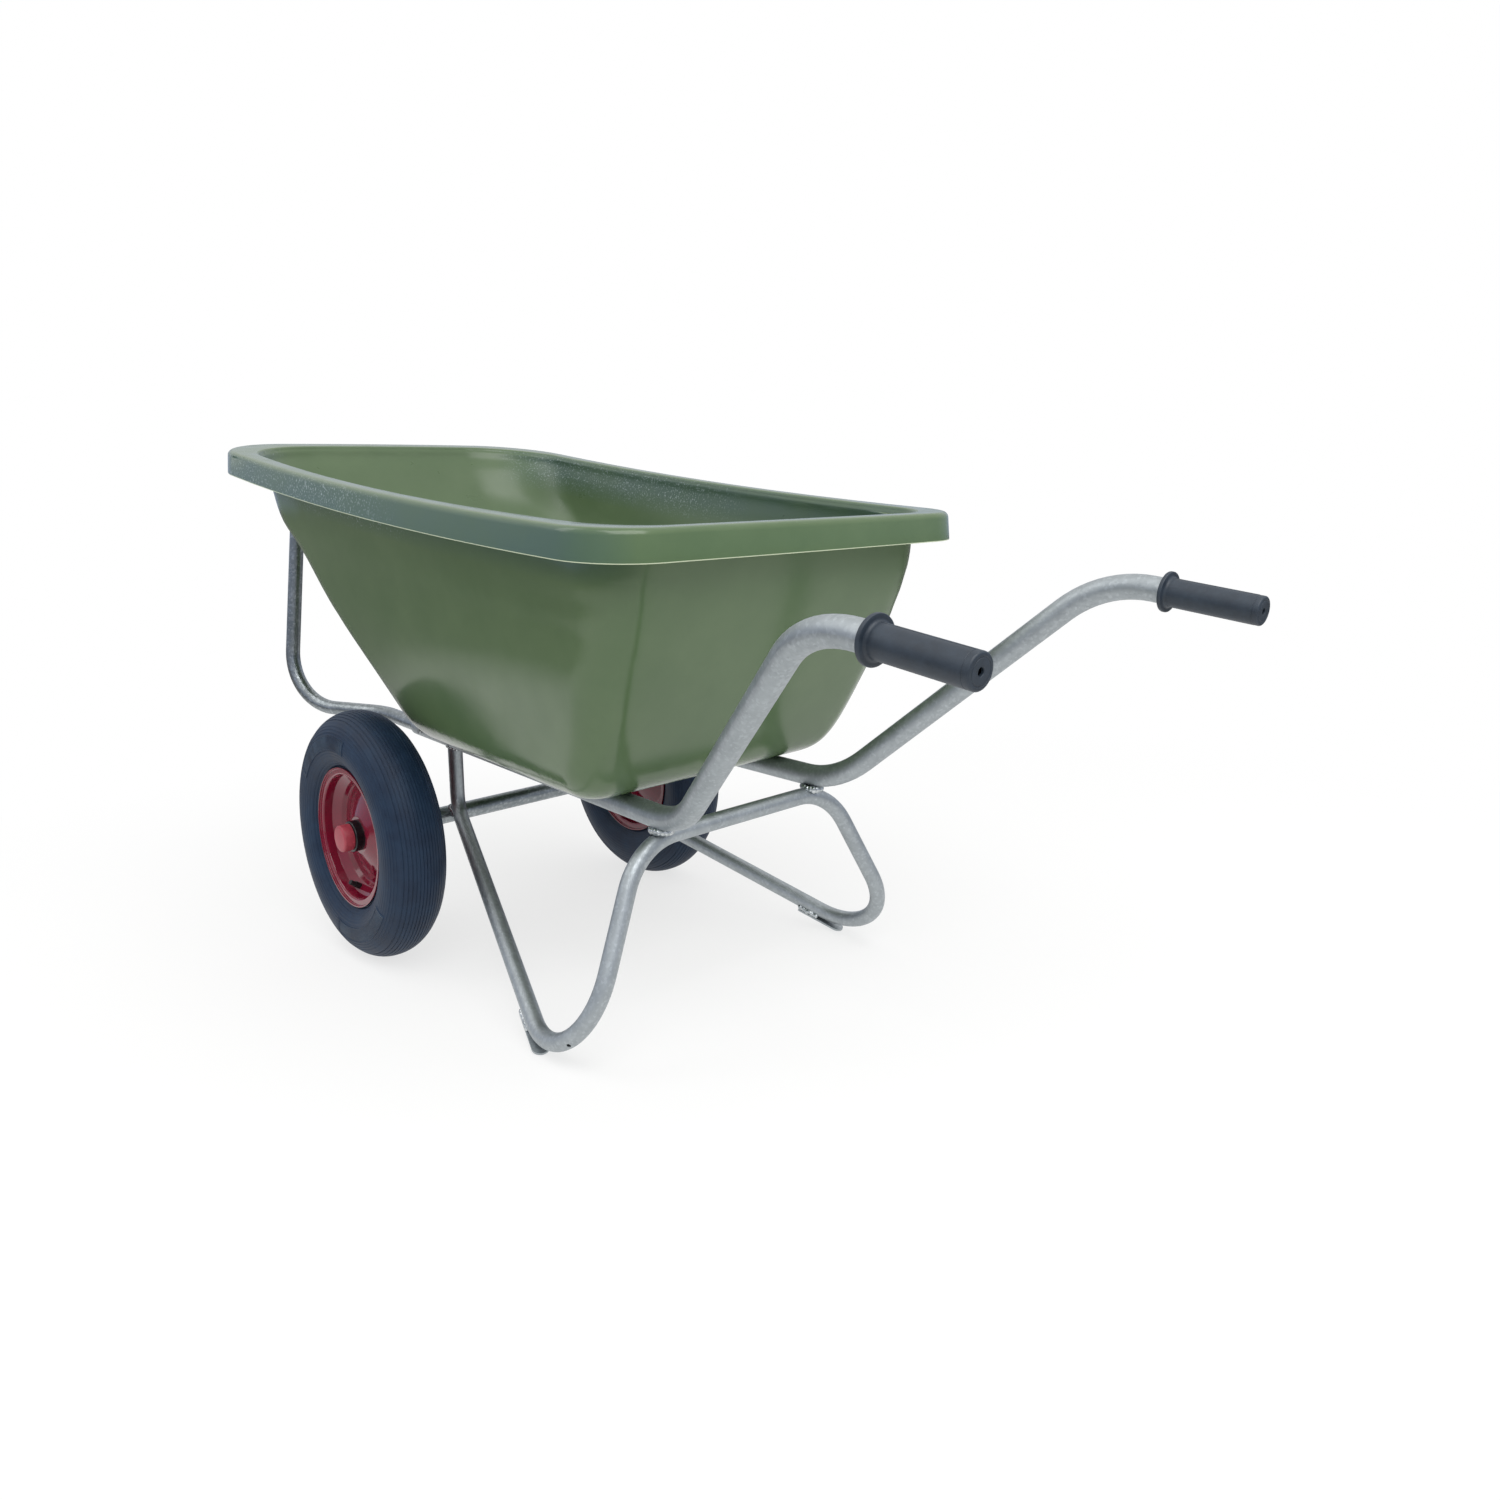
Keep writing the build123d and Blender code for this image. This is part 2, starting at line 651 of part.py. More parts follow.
def rim_prism(inset=0):
    """Upright solid on the rim's outline, narrowing upwards by the skirt's flare."""
    draft = rim_flare / rim_skirt
    low, high = rim_rear_z - rim_dip - 2 * rim_skirt, rim_top(rim_front_x) + rim_skirt
    faces = []
    for z in (low, high):
        front = draft * (rim_top(rim_front_x) - z) - inset
        rear = draft * (rim_top(rim_rear_x) - z) - inset
        faces.append(outline(
            Plane(origin=(0, 0, z)), rim_front_x - front, rim_rear_x + rear,
            rim_front_y + front, rim_rear_y + rear, rim_front_radius + front, rim_rear_radius + rear,
            rim_bow_side, rim_bow_front, rim_bow_rear))
    return loft(faces, ruled=True)


def below_rim(drop=0):
    """Everything below a surface that follows the top of the rim at some depth."""
    margin = 60
    ends = rim_front_x - margin, (rim_front_x + rim_rear_x) / 2, rim_rear_x + margin
    top = [(x, rim_top(x) - drop) for x in ends]
    bottom = -far / 10
    edges = ThreePointArc(*top)
    edges += Polyline(top[0], (ends[0], bottom), (ends[2], bottom), top[2])
    return extrude(Plane.XZ * make_face(edges), amount=far / 4, both=True)


def make_tub():
    """Moulded tub: one skin that turns outwards into a flat rim with a hanging skirt."""
    block = rim_prism() & below_rim()
    top_edges = [e for e in block.edges() if e.center().Z > rim_top(e.center().X) - 1]
    block = fillet(top_edges, rim_edge_radius)
    block -= below_rim(rim_skirt)
    pocket = rim_prism(rim_skin) & below_rim(rim_skin)
    pocket_top = [e for e in pocket.edges() if e.center().Z > rim_top(e.center().X) - rim_skin - 1]
    pocket = fillet(pocket_top, rim_edge_radius - rim_skin)
    tub = block - pocket + (tub_body() & below_rim())
    tub -= tub_body(tub_wall)
    ringed = [face for face in tub.faces() if len(face.inner_wires()) == 1]
    rim_face = max(ringed, key=lambda face: face.bounding_box().max.Z)
    tub = fillet(rim_face.inner_wires()[0].edges(), rim_mouth_radius)
    for point in screw_points(tub_bottom):
        tub += drill(point, (0, 0, 1), screw_pad_d / 2, screw_pad)
        tub -= drill(point, (0, 0, -1), tub_screw_d / 2 + clearance_hole, 2 * tub_wall)
        tub -= drill(point, (0, 0, 1), tub_screw_d / 2 + clearance_hole, tub_wall)
    return tub


# ---- fixings --------------------------------------------------------------------------
def screw_points(z):
    return [Vector(x, side * rail_y(x), z)
            for x in (tub_screw_front_x, tub_screw_rear_x) for side in (-1, 1)]


def make_tub_washers():
    washers = []
    for point in screw_points(pad_top):
        washer = drill(point, (0, 0, 1), tub_washer_d / 2, tub_washer)
        washers.append(washer - drill(point, (0, 0, 1), tub_screw_d / 2 + clearance_hole, 2 * tub_washer))
    return Compound(children=washers)


def make_tub_screws():
    screws = []
    for seat in screw_points(pad_top + tub_washer):
        head = extrude(Plane(origin=seat) * RegularPolygon(tub_screw_head_d / 2, 6), amount=tub_screw_head)
        screws.append(head + drill(seat, (0, 0, -1), tub_screw_d / 2, tub_screw_length))
    return Compound(children=screws)


def hexagon(centre, out):
    """A bolt head's or nut's outline, lying just clear of the rail."""
    face = Plane(origin=centre + out * (rail_r + bolt_seat_gap), z_dir=out)
    return face * RegularPolygon(hoop_bolt_head_af / 2, 6, major_radius=False)


def make_hoop_bolt():
    """Hexagon bolt through a rail and the end of the hoop inside it, head outwards."""
    centre, out = hoop_bolt_line()
    bolt = extrude(hexagon(centre, out), amount=hoop_bolt_head)
    shank = rail_od + 2 * bolt_seat_gap + hoop_nut + hoop_bolt_tail
    return bolt + drill(centre + out * (rail_r + bolt_seat_gap), out * -1, hoop_bolt_d / 2, shank)


def make_hoop_nut():
    centre, out = hoop_bolt_line()
    nut = extrude(hexagon(centre, out * -1), amount=hoop_nut)
    return nut - drill(centre, out * -1, hoop_bolt_d / 2 + screw_fit, rail_od + hoop_nut)


# ---- assembly -------------------------------------------------------------------------
def wheel_pieces():
    return {
        "tyre": make_tyre(), "inner_tube": make_inner_tube(), "rim_outer_half": make_rim_outer_half(),
        "rim_inner_half": make_rim_inner_half(), "hub_tube": make_hub_tube(), "outer_bush": make_bush(),
        "inner_bush": mirror(make_bush(), about=Plane.XZ), "valve_stem": make_valve_stem(),
        "valve_cap": make_valve_cap()}


def all_pieces():
    pieces = {"tub": make_tub(), "front_hoop": make_front_hoop(), "leg_frame": make_leg_frame(),
              "axle_bar": make_axle(), "tub_screws": make_tub_screws(), "tub_washers": make_tub_washers()}
    wheel = wheel_pieces()
    paired = {"handle_rail": make_handle_rail(), "grip": make_grip(), "foot_plate": make_foot_plate(),
              "hub_cap": make_hub_cap()}
    groups = {"thrust_washers": make_thrust_washer(), "outer_washers": make_outer_washer(),
              "axle_clips": make_clip(), "hoop_bolts": make_hoop_bolt(), "hoop_nuts": make_hoop_nut()}
    for side, word in ((-1, "left"), (1, "right")):
        for name, shape in wheel.items():
            pieces[f"{word}_{name}"] = Pos(0, side * wheel_y, 0) * sided(shape, side)
        for name, shape in paired.items():
            pieces[f"{word}_{name}"] = sided(shape, side)
    for name, shape in groups.items():
        pieces[name] = Compound(children=[sided(shape, side) for side in (-1, 1)])
    return pieces


def standing(pieces):
    """Tip the barrow back onto its feet and put the origin on the ground below its middle."""
    tip = foot_tip()
    tilt = asin(tyre_r / hypot(tip.X, tip.Z)) - atan2(-tip.Z, tip.X)
    turned = {name: Rot(0, degrees(tilt), 0) * shape for name, shape in pieces.items()}
    boxes = [shape.bounding_box() for shape in turned.values()]
    middle = (min(b.min.X for b in boxes) + max(b.max.X for b in boxes)) / 2
    print(f"tilt {degrees(tilt):.3f} deg, axle at ({-middle:.3f}, 0, {tyre_r:.3f})")
    return {name: Pos(-middle, 0, tyre_r) * shape for name, shape in turned.items()}


os.makedirs("parts", exist_ok=True)
for name, shape in standing(all_pieces()).items():
    export_step(shape, f"parts/{name}.step")
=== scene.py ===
import json
import math
import random

import bmesh
import bpy
from mathutils import Matrix, Vector, noise


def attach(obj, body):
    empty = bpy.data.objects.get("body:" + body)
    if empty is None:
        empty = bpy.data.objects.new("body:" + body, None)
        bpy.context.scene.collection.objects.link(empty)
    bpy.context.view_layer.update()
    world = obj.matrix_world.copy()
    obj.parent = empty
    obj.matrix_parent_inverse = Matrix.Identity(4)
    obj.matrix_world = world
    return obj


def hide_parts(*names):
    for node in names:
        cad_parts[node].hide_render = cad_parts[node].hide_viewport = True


mm = 0.001
mergeWithin = 0.005  # millimetres between points that become one

print("stage: packed frame")
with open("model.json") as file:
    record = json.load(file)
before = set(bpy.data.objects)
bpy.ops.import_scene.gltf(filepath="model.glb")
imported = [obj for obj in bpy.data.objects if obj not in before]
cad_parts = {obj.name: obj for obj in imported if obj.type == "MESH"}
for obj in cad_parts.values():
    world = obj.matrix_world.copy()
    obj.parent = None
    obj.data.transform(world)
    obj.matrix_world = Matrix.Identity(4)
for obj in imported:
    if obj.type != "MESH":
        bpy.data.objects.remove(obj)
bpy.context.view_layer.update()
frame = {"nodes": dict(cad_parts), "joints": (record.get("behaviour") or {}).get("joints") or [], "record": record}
record = frame["record"]
nodes = frame["nodes"]

# the barrow is drawn in millimetres with level rails about its axle, then tipped back onto its feet
floorAxis = Vector(next(m["axis"] for m in record["mounts"] if m["name"] == "tub_floor"))
wheelAt = {j["child"].split("_")[0]: Vector(j["pos_m"]) for j in frame["joints"]}
axle = wheelAt["left"]
tipBack = math.atan2(floorAxis.x, floorAxis.z)
standing = Matrix.Translation((axle.x, 0, axle.z)) @ Matrix.Rotation(tipBack, 4, "Y") @ Matrix.Scale(mm, 4)
sides = {"left": -1, "right": 1}


def linear(code):  # an sRGB hex colour as the shader wants it
    parts = [int(code[i:i + 2], 16) / 255 for i in (1, 3, 5)]
    return (*[p / 12.92 if p <= 0.04045 else ((p + 0.055) / 1.055) ** 2.4 for p in parts], 1)


def perMetre(size):  # texture scale for features of this size in millimetres
    return 1 / (size * mm)


def addNode(tree, kind, values=None, links=None, **settings):
    node = tree.nodes.new("ShaderNode" + kind)
    for name, value in settings.items():
        setattr(node, name, value)
    for name, value in (values or {}).items():
        node.inputs[name].default_value = value
    for name, source in (links or {}).items():
        tree.links.new(source, node.inputs[name])
    return node


# a new material with the colour, roughness and normal left for its maker to link
def startFinish(name, **sockets):
    material = bpy.data.materials.new(name)
    material.use_nodes = True
    tree = material.node_tree
    shader = tree.nodes["Principled BSDF"]
    for socket, value in sockets.items():
        shader.inputs[socket.replace("_", " ")].default_value = value
    return material, tree, addNode(tree, "TexCoord").outputs["Object"]


def endFinish(tree, colour, normal, roughness=None):
    shader = tree.nodes["Principled BSDF"]
    tree.links.new(colour, shader.inputs["Base Color"])
    tree.links.new(normal, shader.inputs["Normal"])
    if roughness:
        tree.links.new(roughness, shader.inputs["Roughness"])


print("stage: materials")

tubFinish = {
    # the pale edge tone is a painted highlight, the bluish grey a painted reflection and the palest grey painted
    # glints
    "green": "#4f6544", "cloud": "#566b4a", "cutEdge": "#b9c3a6", "bloom": "#3c5552", "scuff": "#a9b7b8",
    # pattern sizes and the heights of their relief, in millimetres
    "cloudSize": 130, "waveSize": 210, "wave": 0.45, "peelSize": 3.2, "peel": 0.018, "scuffSize": 3.2,
    "sheenSize": 45,
    # the rim: its two ends and its middle, its top at the rear, how that climbs forwards and sags
    "rearX": 732, "frontX": -462, "middleX": 135, "rearTop": 516, "slope": 0.093, "dip": 14.4,
    "skirt": 39, "faceBand": 2, "cornerBand": 1.1, "faceDown": -0.6, "upright": (0.06, 0.1), "outside": 0.1,
    # the sheen painted as a reflection fades between these depths under the rim, the painted glints between these
    # places along it
    "bloomDepth": (35, 75), "bloomFacing": (0.35, 0.95), "bloomShare": 0.7, "scuffX": (300, 120),
    "speckle": (0.56, 0.72), "gloss": (0.15, 0.23), "dullInside": 0.12, "lookFromZ": 900,
    "insideFacing": (-0.22, -0.32),
}


def makePolyethylene():
    # rotationally moulded polyethylene: an even, slightly waxy green with a soft sheen, an orange-peel
    # skin and faint clouding; a pale line painted as a highlight all along the lower edge of the skirt, a bluish
    # sheen painted as a reflection on the rim's sides and pale glints painted near the nose
    s = tubFinish
    material, tree, place = startFinish("mouldedPolyethylene", IOR=1.5)
    clouds = addNode(tree, "TexNoise", {"Scale": perMetre(s["cloudSize"]), "Detail": 4, "Roughness": 0.55},
                     {"Vector": place})
    cloud = addNode(tree, "MapRange", {"From Min": 0.35, "From Max": 0.65}, {"Value": clouds.outputs["Fac"]})
    green = addNode(tree, "Mix", {6: linear(s["green"]), 7: linear(s["cloud"])}, {0: cloud.outputs[0]},
                    data_type="RGBA")
    # height under the rim's top, which sags between nose and rear
    turn = Matrix.Rotation(-tipBack, 4, "Y")
    level = addNode(tree, "Mapping", {
        "Location": turn @ Vector((-axle.x, 0, -axle.z)), "Rotation": (0, -tipBack, 0)}, {"Vector": place})
    local = addNode(tree, "SeparateXYZ", links={0: level.outputs[0]})
    middleX, half = s["middleX"] * mm, (s["rearX"] - s["middleX"]) * mm
    along = addNode(tree, "Math", {1: 1 / half, 2: -middleX / half}, {0: local.outputs["X"]},
                    operation="MULTIPLY_ADD")
    sag = addNode(tree, "Math", {1: 2}, {0: along.outputs[0]}, operation="POWER")
    rise = (s["rearTop"] + s["slope"] * s["rearX"] - s["dip"]) * mm
    climb = addNode(tree, "Math", {1: -s["slope"], 2: rise}, {0: local.outputs["X"]}, operation="MULTIPLY_ADD")
    top = addNode(tree, "Math", {1: s["dip"] * mm}, {0: sag.outputs[0], 2: climb.outputs[0]},
                  operation="MULTIPLY_ADD")
    depth = addNode(tree, "Math", links={0: top.outputs[0], 1: local.outputs["Z"]}, operation="SUBTRACT")
    normal = addNode(tree, "TexCoord").outputs["Normal"]
    facing = addNode(tree, "SeparateXYZ", links={0: normal})
    # a pale line painted as a highlight: on the skirt's lower face, which looks down, and on its outer corner on
    # the upright skirt
    nearFace, nearCorner = [
        addNode(tree, "Math", {1: s["skirt"] * mm, 2: s[band] * mm}, {0: depth.outputs[0]}, operation="COMPARE")
        for band in ("faceBand", "cornerBand")]
    below = addNode(tree, "Math", {1: s["faceDown"]}, {0: facing.outputs["Z"]}, operation="LESS_THAN")
    face = addNode(tree, "Math", links={0: nearFace.outputs[0], 1: below.outputs[0]}, operation="MULTIPLY")
    upright = addNode(tree, "Math", {1: s["upright"][0], 2: s["upright"][1]}, {0: facing.outputs["Z"]},
                      operation="COMPARE")
    # how squarely the surface faces away from a point below the tub, and from one high over it
    away, lifted = [
        addNode(tree, "VectorMath", links={
            0: addNode(tree, "VectorMath", {1: (middleX + axle.x, 0, height * mm)}, {0: place},
                       operation="SUBTRACT").outputs[0],
            1: normal}, operation="DOT_PRODUCT").outputs["Value"]
        for height in (0, s["lookFromZ"])]
    outside = addNode(tree, "Math", {1: s["outside"]}, {0: away}, operation="GREATER_THAN")
    skirt = addNode(tree, "Math", links={0: upright.outputs[0], 1: outside.outputs[0]}, operation="MULTIPLY")
    corner = addNode(tree, "Math", links={0: nearCorner.outputs[0], 1: skirt.outputs[0]}, operation="MULTIPLY")
    edgeLight = addNode(tree, "Math", links={0: face.outputs[0], 1: corner.outputs[0]}, operation="MAXIMUM")
    # a bluish-grey sheen painted as a reflection on the sideways-facing upright sides of the rim, and pale glints
    # painted near the nose
    sideways = addNode(tree, "Math", links={0: facing.outputs["Y"]}, operation="ABSOLUTE")
    onSide = addNode(tree, "MapRange", {"From Min": s["bloomFacing"][0], "From Max": s["bloomFacing"][1]},
                     {"Value": sideways.outputs[0]})
    nearRim = addNode(tree, "MapRange", {
        "From Min": s["bloomDepth"][0] * mm, "From Max": s["bloomDepth"][1] * mm,
        "To Min": s["bloomShare"], "To Max": 0}, {"Value": depth.outputs[0]})
    sideReflection = addNode(tree, "Math", links={0: onSide.outputs[0], 1: nearRim.outputs[0]}, operation="MULTIPLY")
    patches = addNode(tree, "MapRange", {"From Min": 0.3, "From Max": 0.6, "To Min": 0.6},
                      {"Value": clouds.outputs["Fac"]})
    bloom = addNode(tree, "Math", links={0: sideReflection.outputs[0], 1: patches.outputs[0]}, operation="MULTIPLY")
    # the bluish grey painted as a reflection on the rim's sides
    reflected = addNode(tree, "Mix", {7: linear(s["bloom"])}, {0: bloom.outputs[0], 6: green.outputs[2]},
                   data_type="RGBA")
    # pale specks painted as glints near the nose, only within the painted reflection
    grains = addNode(tree, "TexNoise", {"Scale": perMetre(s["scuffSize"]), "Detail": 2}, {"Vector": place})
    glintSpots = addNode(tree, "MapRange", {"From Min": s["speckle"][0], "From Max": s["speckle"][1]},
                     {"Value": grains.outputs["Fac"]})
    nose = addNode(tree, "MapRange", {"From Min": s["scuffX"][0] * mm, "From Max": s["scuffX"][1] * mm},
                   {"Value": local.outputs["X"]})
    glinting = addNode(tree, "Math", links={0: glintSpots.outputs[0], 1: nose.outputs[0]}, operation="MULTIPLY")
    glints = addNode(tree, "Math", links={0: glinting.outputs[0], 1: bloom.outputs[0]}, operation="MULTIPLY")
    glinted = addNode(tree, "Mix", {7: linear(s["scuff"])}, {0: glints.outputs[0], 6: reflected.outputs[2]},
                   data_type="RGBA")
    # mixes in the pale line painted as a highlight along the skirt's lower edge
    colour = addNode(tree, "Mix", {7: linear(s["cutEdge"])}, {0: edgeLight.outputs[0], 6: glinted.outputs[2]},
                     data_type="RGBA")
    sheen = addNode(tree, "TexNoise", {"Scale": perMetre(s["sheenSize"]), "Detail": 3}, {"Vector": place})
    gloss = addNode(tree, "MapRange", {
        "From Min": 0.3, "From Max": 0.7, "To Min": s["gloss"][0], "To Max": s["gloss"][1]},
        {"Value": sheen.outputs["Fac"]})
    # the inside is duller than the outside
    within = addNode(tree, "MapRange", {
        "From Min": s["insideFacing"][0], "From Max": s["insideFacing"][1], "To Max": s["dullInside"]},
        {"Value": lifted})
    duller = addNode(tree, "Math", links={0: gloss.outputs[0], 1: within.outputs[0]}, operation="ADD")
    swell = addNode(tree, "TexNoise", {"Scale": perMetre(s["waveSize"]), "Detail": 1}, {"Vector": place})
    wave = addNode(tree, "Bump", {"Distance": s["wave"] * mm}, {"Height": swell.outputs["Fac"]})
    peel = addNode(tree, "TexNoise", {"Scale": perMetre(s["peelSize"]), "Detail": 2}, {"Vector": place})
    skin = addNode(tree, "Bump", {"Distance": s["peel"] * mm},
                   {"Height": peel.outputs["Fac"], "Normal": wave.outputs[0]})
    endFinish(tree, colour.outputs[2], skin.outputs[0], duller.outputs[0])
    return material


zincFinish = {
    "dippedTube": {
        "dull": "#a1a7aa", "clean": "#adb3b6", "spangle": "#b9bfc2", "rough": (0.46, 0.58),
        "runs": 0.12, "runSize": 16, "grit": 0.025},
    "dippedTubeDark": {
        "dull": "#838a8d", "clean": "#959b9e", "spangle": "#b3b9bc", "rough": (0.28, 0.44),
        "runs": 0.55, "runSize": 7, "grit": 0.06},
    "dippedWeld": {
        "dull": "#9aa0a2", "clean": "#c6cbcd", "spangle": "#e4e7e8", "rough": (0.2, 0.36),
        "runs": 0.5, "runSize": 5, "grit": 0.12},
    "mottleSize": 22, "spangleSize": 3.5, "gritSize": 1.8,
}


def makeGalvanised(name):
    # hot-dip galvanised steel: satin grey with faint crystal spangles, and soft runs where the zinc
    # set thick; on welds the same zinc lies brighter over lumps and ripples
    s = zincFinish[name]
    material, tree, place = startFinish(name, Metallic=1.0)
    mottles = addNode(tree, "TexNoise", {
        "Scale": perMetre(zincFinish["mottleSize"]), "Detail": 5, "Roughness": 0.6}, {"Vector": place})
    mottle = addNode(tree, "MapRange", {"From Min": 0.3, "From Max": 0.7}, {"Value": mottles.outputs["Fac"]})
    grey = addNode(tree, "Mix", {6: linear(s["dull"]), 7: linear(s["clean"])}, {0: mottle.outputs[0]},
                   data_type="RGBA")
    crystals = addNode(tree, "TexVoronoi", {"Scale": perMetre(zincFinish["spangleSize"])}, {"Vector": place})
    tone = addNode(tree, "SeparateColor", links={0: crystals.outputs["Color"]})
    bright = addNode(tree, "MapRange", {"From Min": 0.6, "To Max": 0.7}, {"Value": tone.outputs[0]})
    colour = addNode(tree, "Mix", {7: linear(s["spangle"])}, {0: bright.outputs[0], 6: grey.outputs[2]},
                     data_type="RGBA")
    rough = addNode(tree, "MapRange", {"To Min": s["rough"][0], "To Max": s["rough"][1]},
                    {"Value": tone.outputs[1]})
    thick = addNode(tree, "TexNoise", {"Scale": perMetre(s["runSize"]), "Detail": 3}, {"Vector": place})
    runs = addNode(tree, "Bump", {"Distance": s["runs"] * mm}, {"Height": thick.outputs["Fac"]})
    grains = addNode(tree, "TexNoise", {"Scale": perMetre(zincFinish["gritSize"]), "Detail": 2},
                     {"Vector": place})
    grit = addNode(tree, "Bump", {"Distance": s["grit"] * mm},
                   {"Height": grains.outputs["Fac"], "Normal": runs.outputs[0]})
    endFinish(tree, colour.outputs[2], grit.outputs[0], rough.outputs[0])
    return material


tyreFinish = {
    "black": "#10233a", "bloom": "#1b3149", "plate": "#33465a", "bloomSize": 34, "rough": (0.46, 0.62),
    # rings left by the mould, and the plates' hatch, whose pitch holds at one distance from the axle
    "moulding": 5, "mouldingDepth": 0.12, "hatch": 3.6, "hatchAt": 155, "hatchDepth": 0.6,
    "gritSize": 1.5, "grit": 0.04,
}


def makeTyreRubber(name, hatched):
    # moulded tyre rubber: carbon black with a blue-grey bloom and fine turned rings from its mould, satin;
    # the plates on the sidewalls carry a plain radial hatch
    s = tyreFinish
    material, tree, place = startFinish(name, IOR=1.5, Specular_IOR_Level=0.32)
    bloom = addNode(tree, "TexNoise", {"Scale": perMetre(s["bloomSize"]), "Detail": 5, "Roughness": 0.6},
                    {"Vector": place})
    share = addNode(tree, "MapRange", {"From Min": 0.35, "From Max": 0.7}, {"Value": bloom.outputs["Fac"]})
    light = linear(s["plate" if hatched else "bloom"])
    colour = addNode(tree, "Mix", {6: linear(s["black"]), 7: light}, {0: share.outputs[0]}, data_type="RGBA")
    rough = addNode(tree, "MapRange", {"To Min": s["rough"][0], "To Max": s["rough"][1]},
                    {"Value": bloom.outputs["Fac"]})
    centred = addNode(tree, "Mapping", {"Location": (-axle.x, 0, -axle.z), "Scale": (1, 0, 1)},
                      {"Vector": place})
    if hatched:
        arms = addNode(tree, "SeparateXYZ", links={0: centred.outputs[0]})
        angle = addNode(tree, "Math", links={0: arms.outputs["Z"], 1: arms.outputs["X"]}, operation="ARCTAN2")
        turns = addNode(tree, "Math", {1: s["hatchAt"] / s["hatch"]}, {0: angle.outputs[0]},
                        operation="MULTIPLY")
        depth = s["hatchDepth"]
    else:
        reach = addNode(tree, "VectorMath", links={0: centred.outputs[0]}, operation="LENGTH")
        turns = addNode(tree, "Math", {1: perMetre(s["moulding"])}, {0: reach.outputs["Value"]},
                        operation="MULTIPLY")
        depth = s["mouldingDepth"]
    cycle = addNode(tree, "Math", {1: 2 * math.pi}, {0: turns.outputs[0]}, operation="MULTIPLY")
    wave = addNode(tree, "Math", links={0: cycle.outputs[0]}, operation="SINE")
    rings = addNode(tree, "Bump", {"Distance": depth * mm}, {"Height": wave.outputs[0]})
    grains = addNode(tree, "TexNoise", {"Scale": perMetre(s["gritSize"]), "Detail": 3}, {"Vector": place})
    grit = addNode(tree, "Bump", {"Distance": s["grit"] * mm},
                   {"Height": grains.outputs["Fac"], "Normal": rings.outputs[0]})
    endFinish(tree, colour.outputs[2], grit.outputs[0], rough.outputs[0])
    return material


# finishes of one clouded tone over a fine grain: pattern sizes and relief in millimetres
cloudedFinish = {
    # bright zinc plating on pressed and turned steel: smoother and lighter than the dipped tubes
    "zincPlate": {
        "tones": ("#a3a8ab", "#c0c4c6"), "cloudSize": 6, "cloud": {"Detail": 3}, "rough": (0.25, 0.42),
        "grain": 1.2, "relief": 0.03, "sockets": {"Metallic": 1.0}},
    # red stove enamel on pressed sheet: wet-looking gloss with sharp highlights, a slight orange peel
    "redStoveEnamel": {
        "tones": ("#6f0e28", "#801731"), "cloudSize": 30, "cloud": {"Detail": 3}, "rough": (0.08, 0.15),
        "grain": 7, "relief": 0.05,
        "sockets": {"IOR": 1.5, "Specular_IOR_Level": 0.4, "Coat_Weight": 0.35, "Coat_Roughness": 0.03}},
}
mouldings = {  # dark and light tone, roughness and grain
    "butylRubber": ("#101012", "#1b1b1e", 0.6, 1.5),  # soft black rubber of tubes and valves, dull
    "gripRubber": ("#1f2934", "#2c3743", 0.48, 1.3),  # moulded grip rubber, blue-black with a soft sheen
    "blackNylon": ("#0b0c0f", "#14161a", 0.32, 1.0),  # moulded nylon bushes, near black and smooth
    "redPolypropylene": ("#9c3644", "#aa414e", 0.42, 1.1),  # moulded caps, flatter and pinker than the enamel
}
for name, (dark, light, rough, grain) in mouldings.items():
    cloudedFinish[name] = {
        "tones": (dark, light), "cloudSize": 18, "cloud": {"Detail": 5, "Roughness": 0.65},
        "share": (0.35, 0.7), "rough": (rough - 0.08, rough + 0.1), "grain": grain, "relief": 0.05,
        "sockets": {"IOR": 1.5}}


def makeClouded(name):
    s = cloudedFinish[name]
    material, tree, place = startFinish(name, **s["sockets"])
    cloud = addNode(tree, "TexNoise", {"Scale": perMetre(s["cloudSize"]), **s["cloud"]},
                    {"Vector": place}).outputs["Fac"]
    share = cloud
    if "share" in s:
        low, high = s["share"]
        share = addNode(tree, "MapRange", {"From Min": low, "From Max": high}, {"Value": cloud}).outputs[0]
    dark, light = s["tones"]
    colour = addNode(tree, "Mix", {6: linear(dark), 7: linear(light)}, {0: share}, data_type="RGBA")
    rough = addNode(tree, "MapRange", {"To Min": s["rough"][0], "To Max": s["rough"][1]}, {"Value": cloud})
    grains = addNode(tree, "TexNoise", {"Scale": perMetre(s["grain"]), "Detail": 2}, {"Vector": place})
    skin = addNode(tree, "Bump", {"Distance": s["relief"] * mm}, {"Height": grains.outputs["Fac"]})
    endFinish(tree, colour.outputs[2], skin.outputs[0], rough.outputs[0])
    return material


polyethylene = makePolyethylene()
galvanised = makeGalvanised("dippedTube")
galvanisedDark = makeGalvanised("dippedTubeDark")
weldMetal = makeGalvanised("dippedWeld")
zincPlate = makeClouded("zincPlate")
enamel = makeClouded("redStoveEnamel")
tyreRubber = makeTyreRubber("tyreRubber", hatched=False)
plateRubber = makeTyreRubber("hatchedTyreRubber", hatched=True)
butyl = makeClouded("butylRubber")
gripRubber = makeClouded("gripRubber")
nylon = makeClouded("blackNylon")
capPlastic = makeClouded("redPolypropylene")

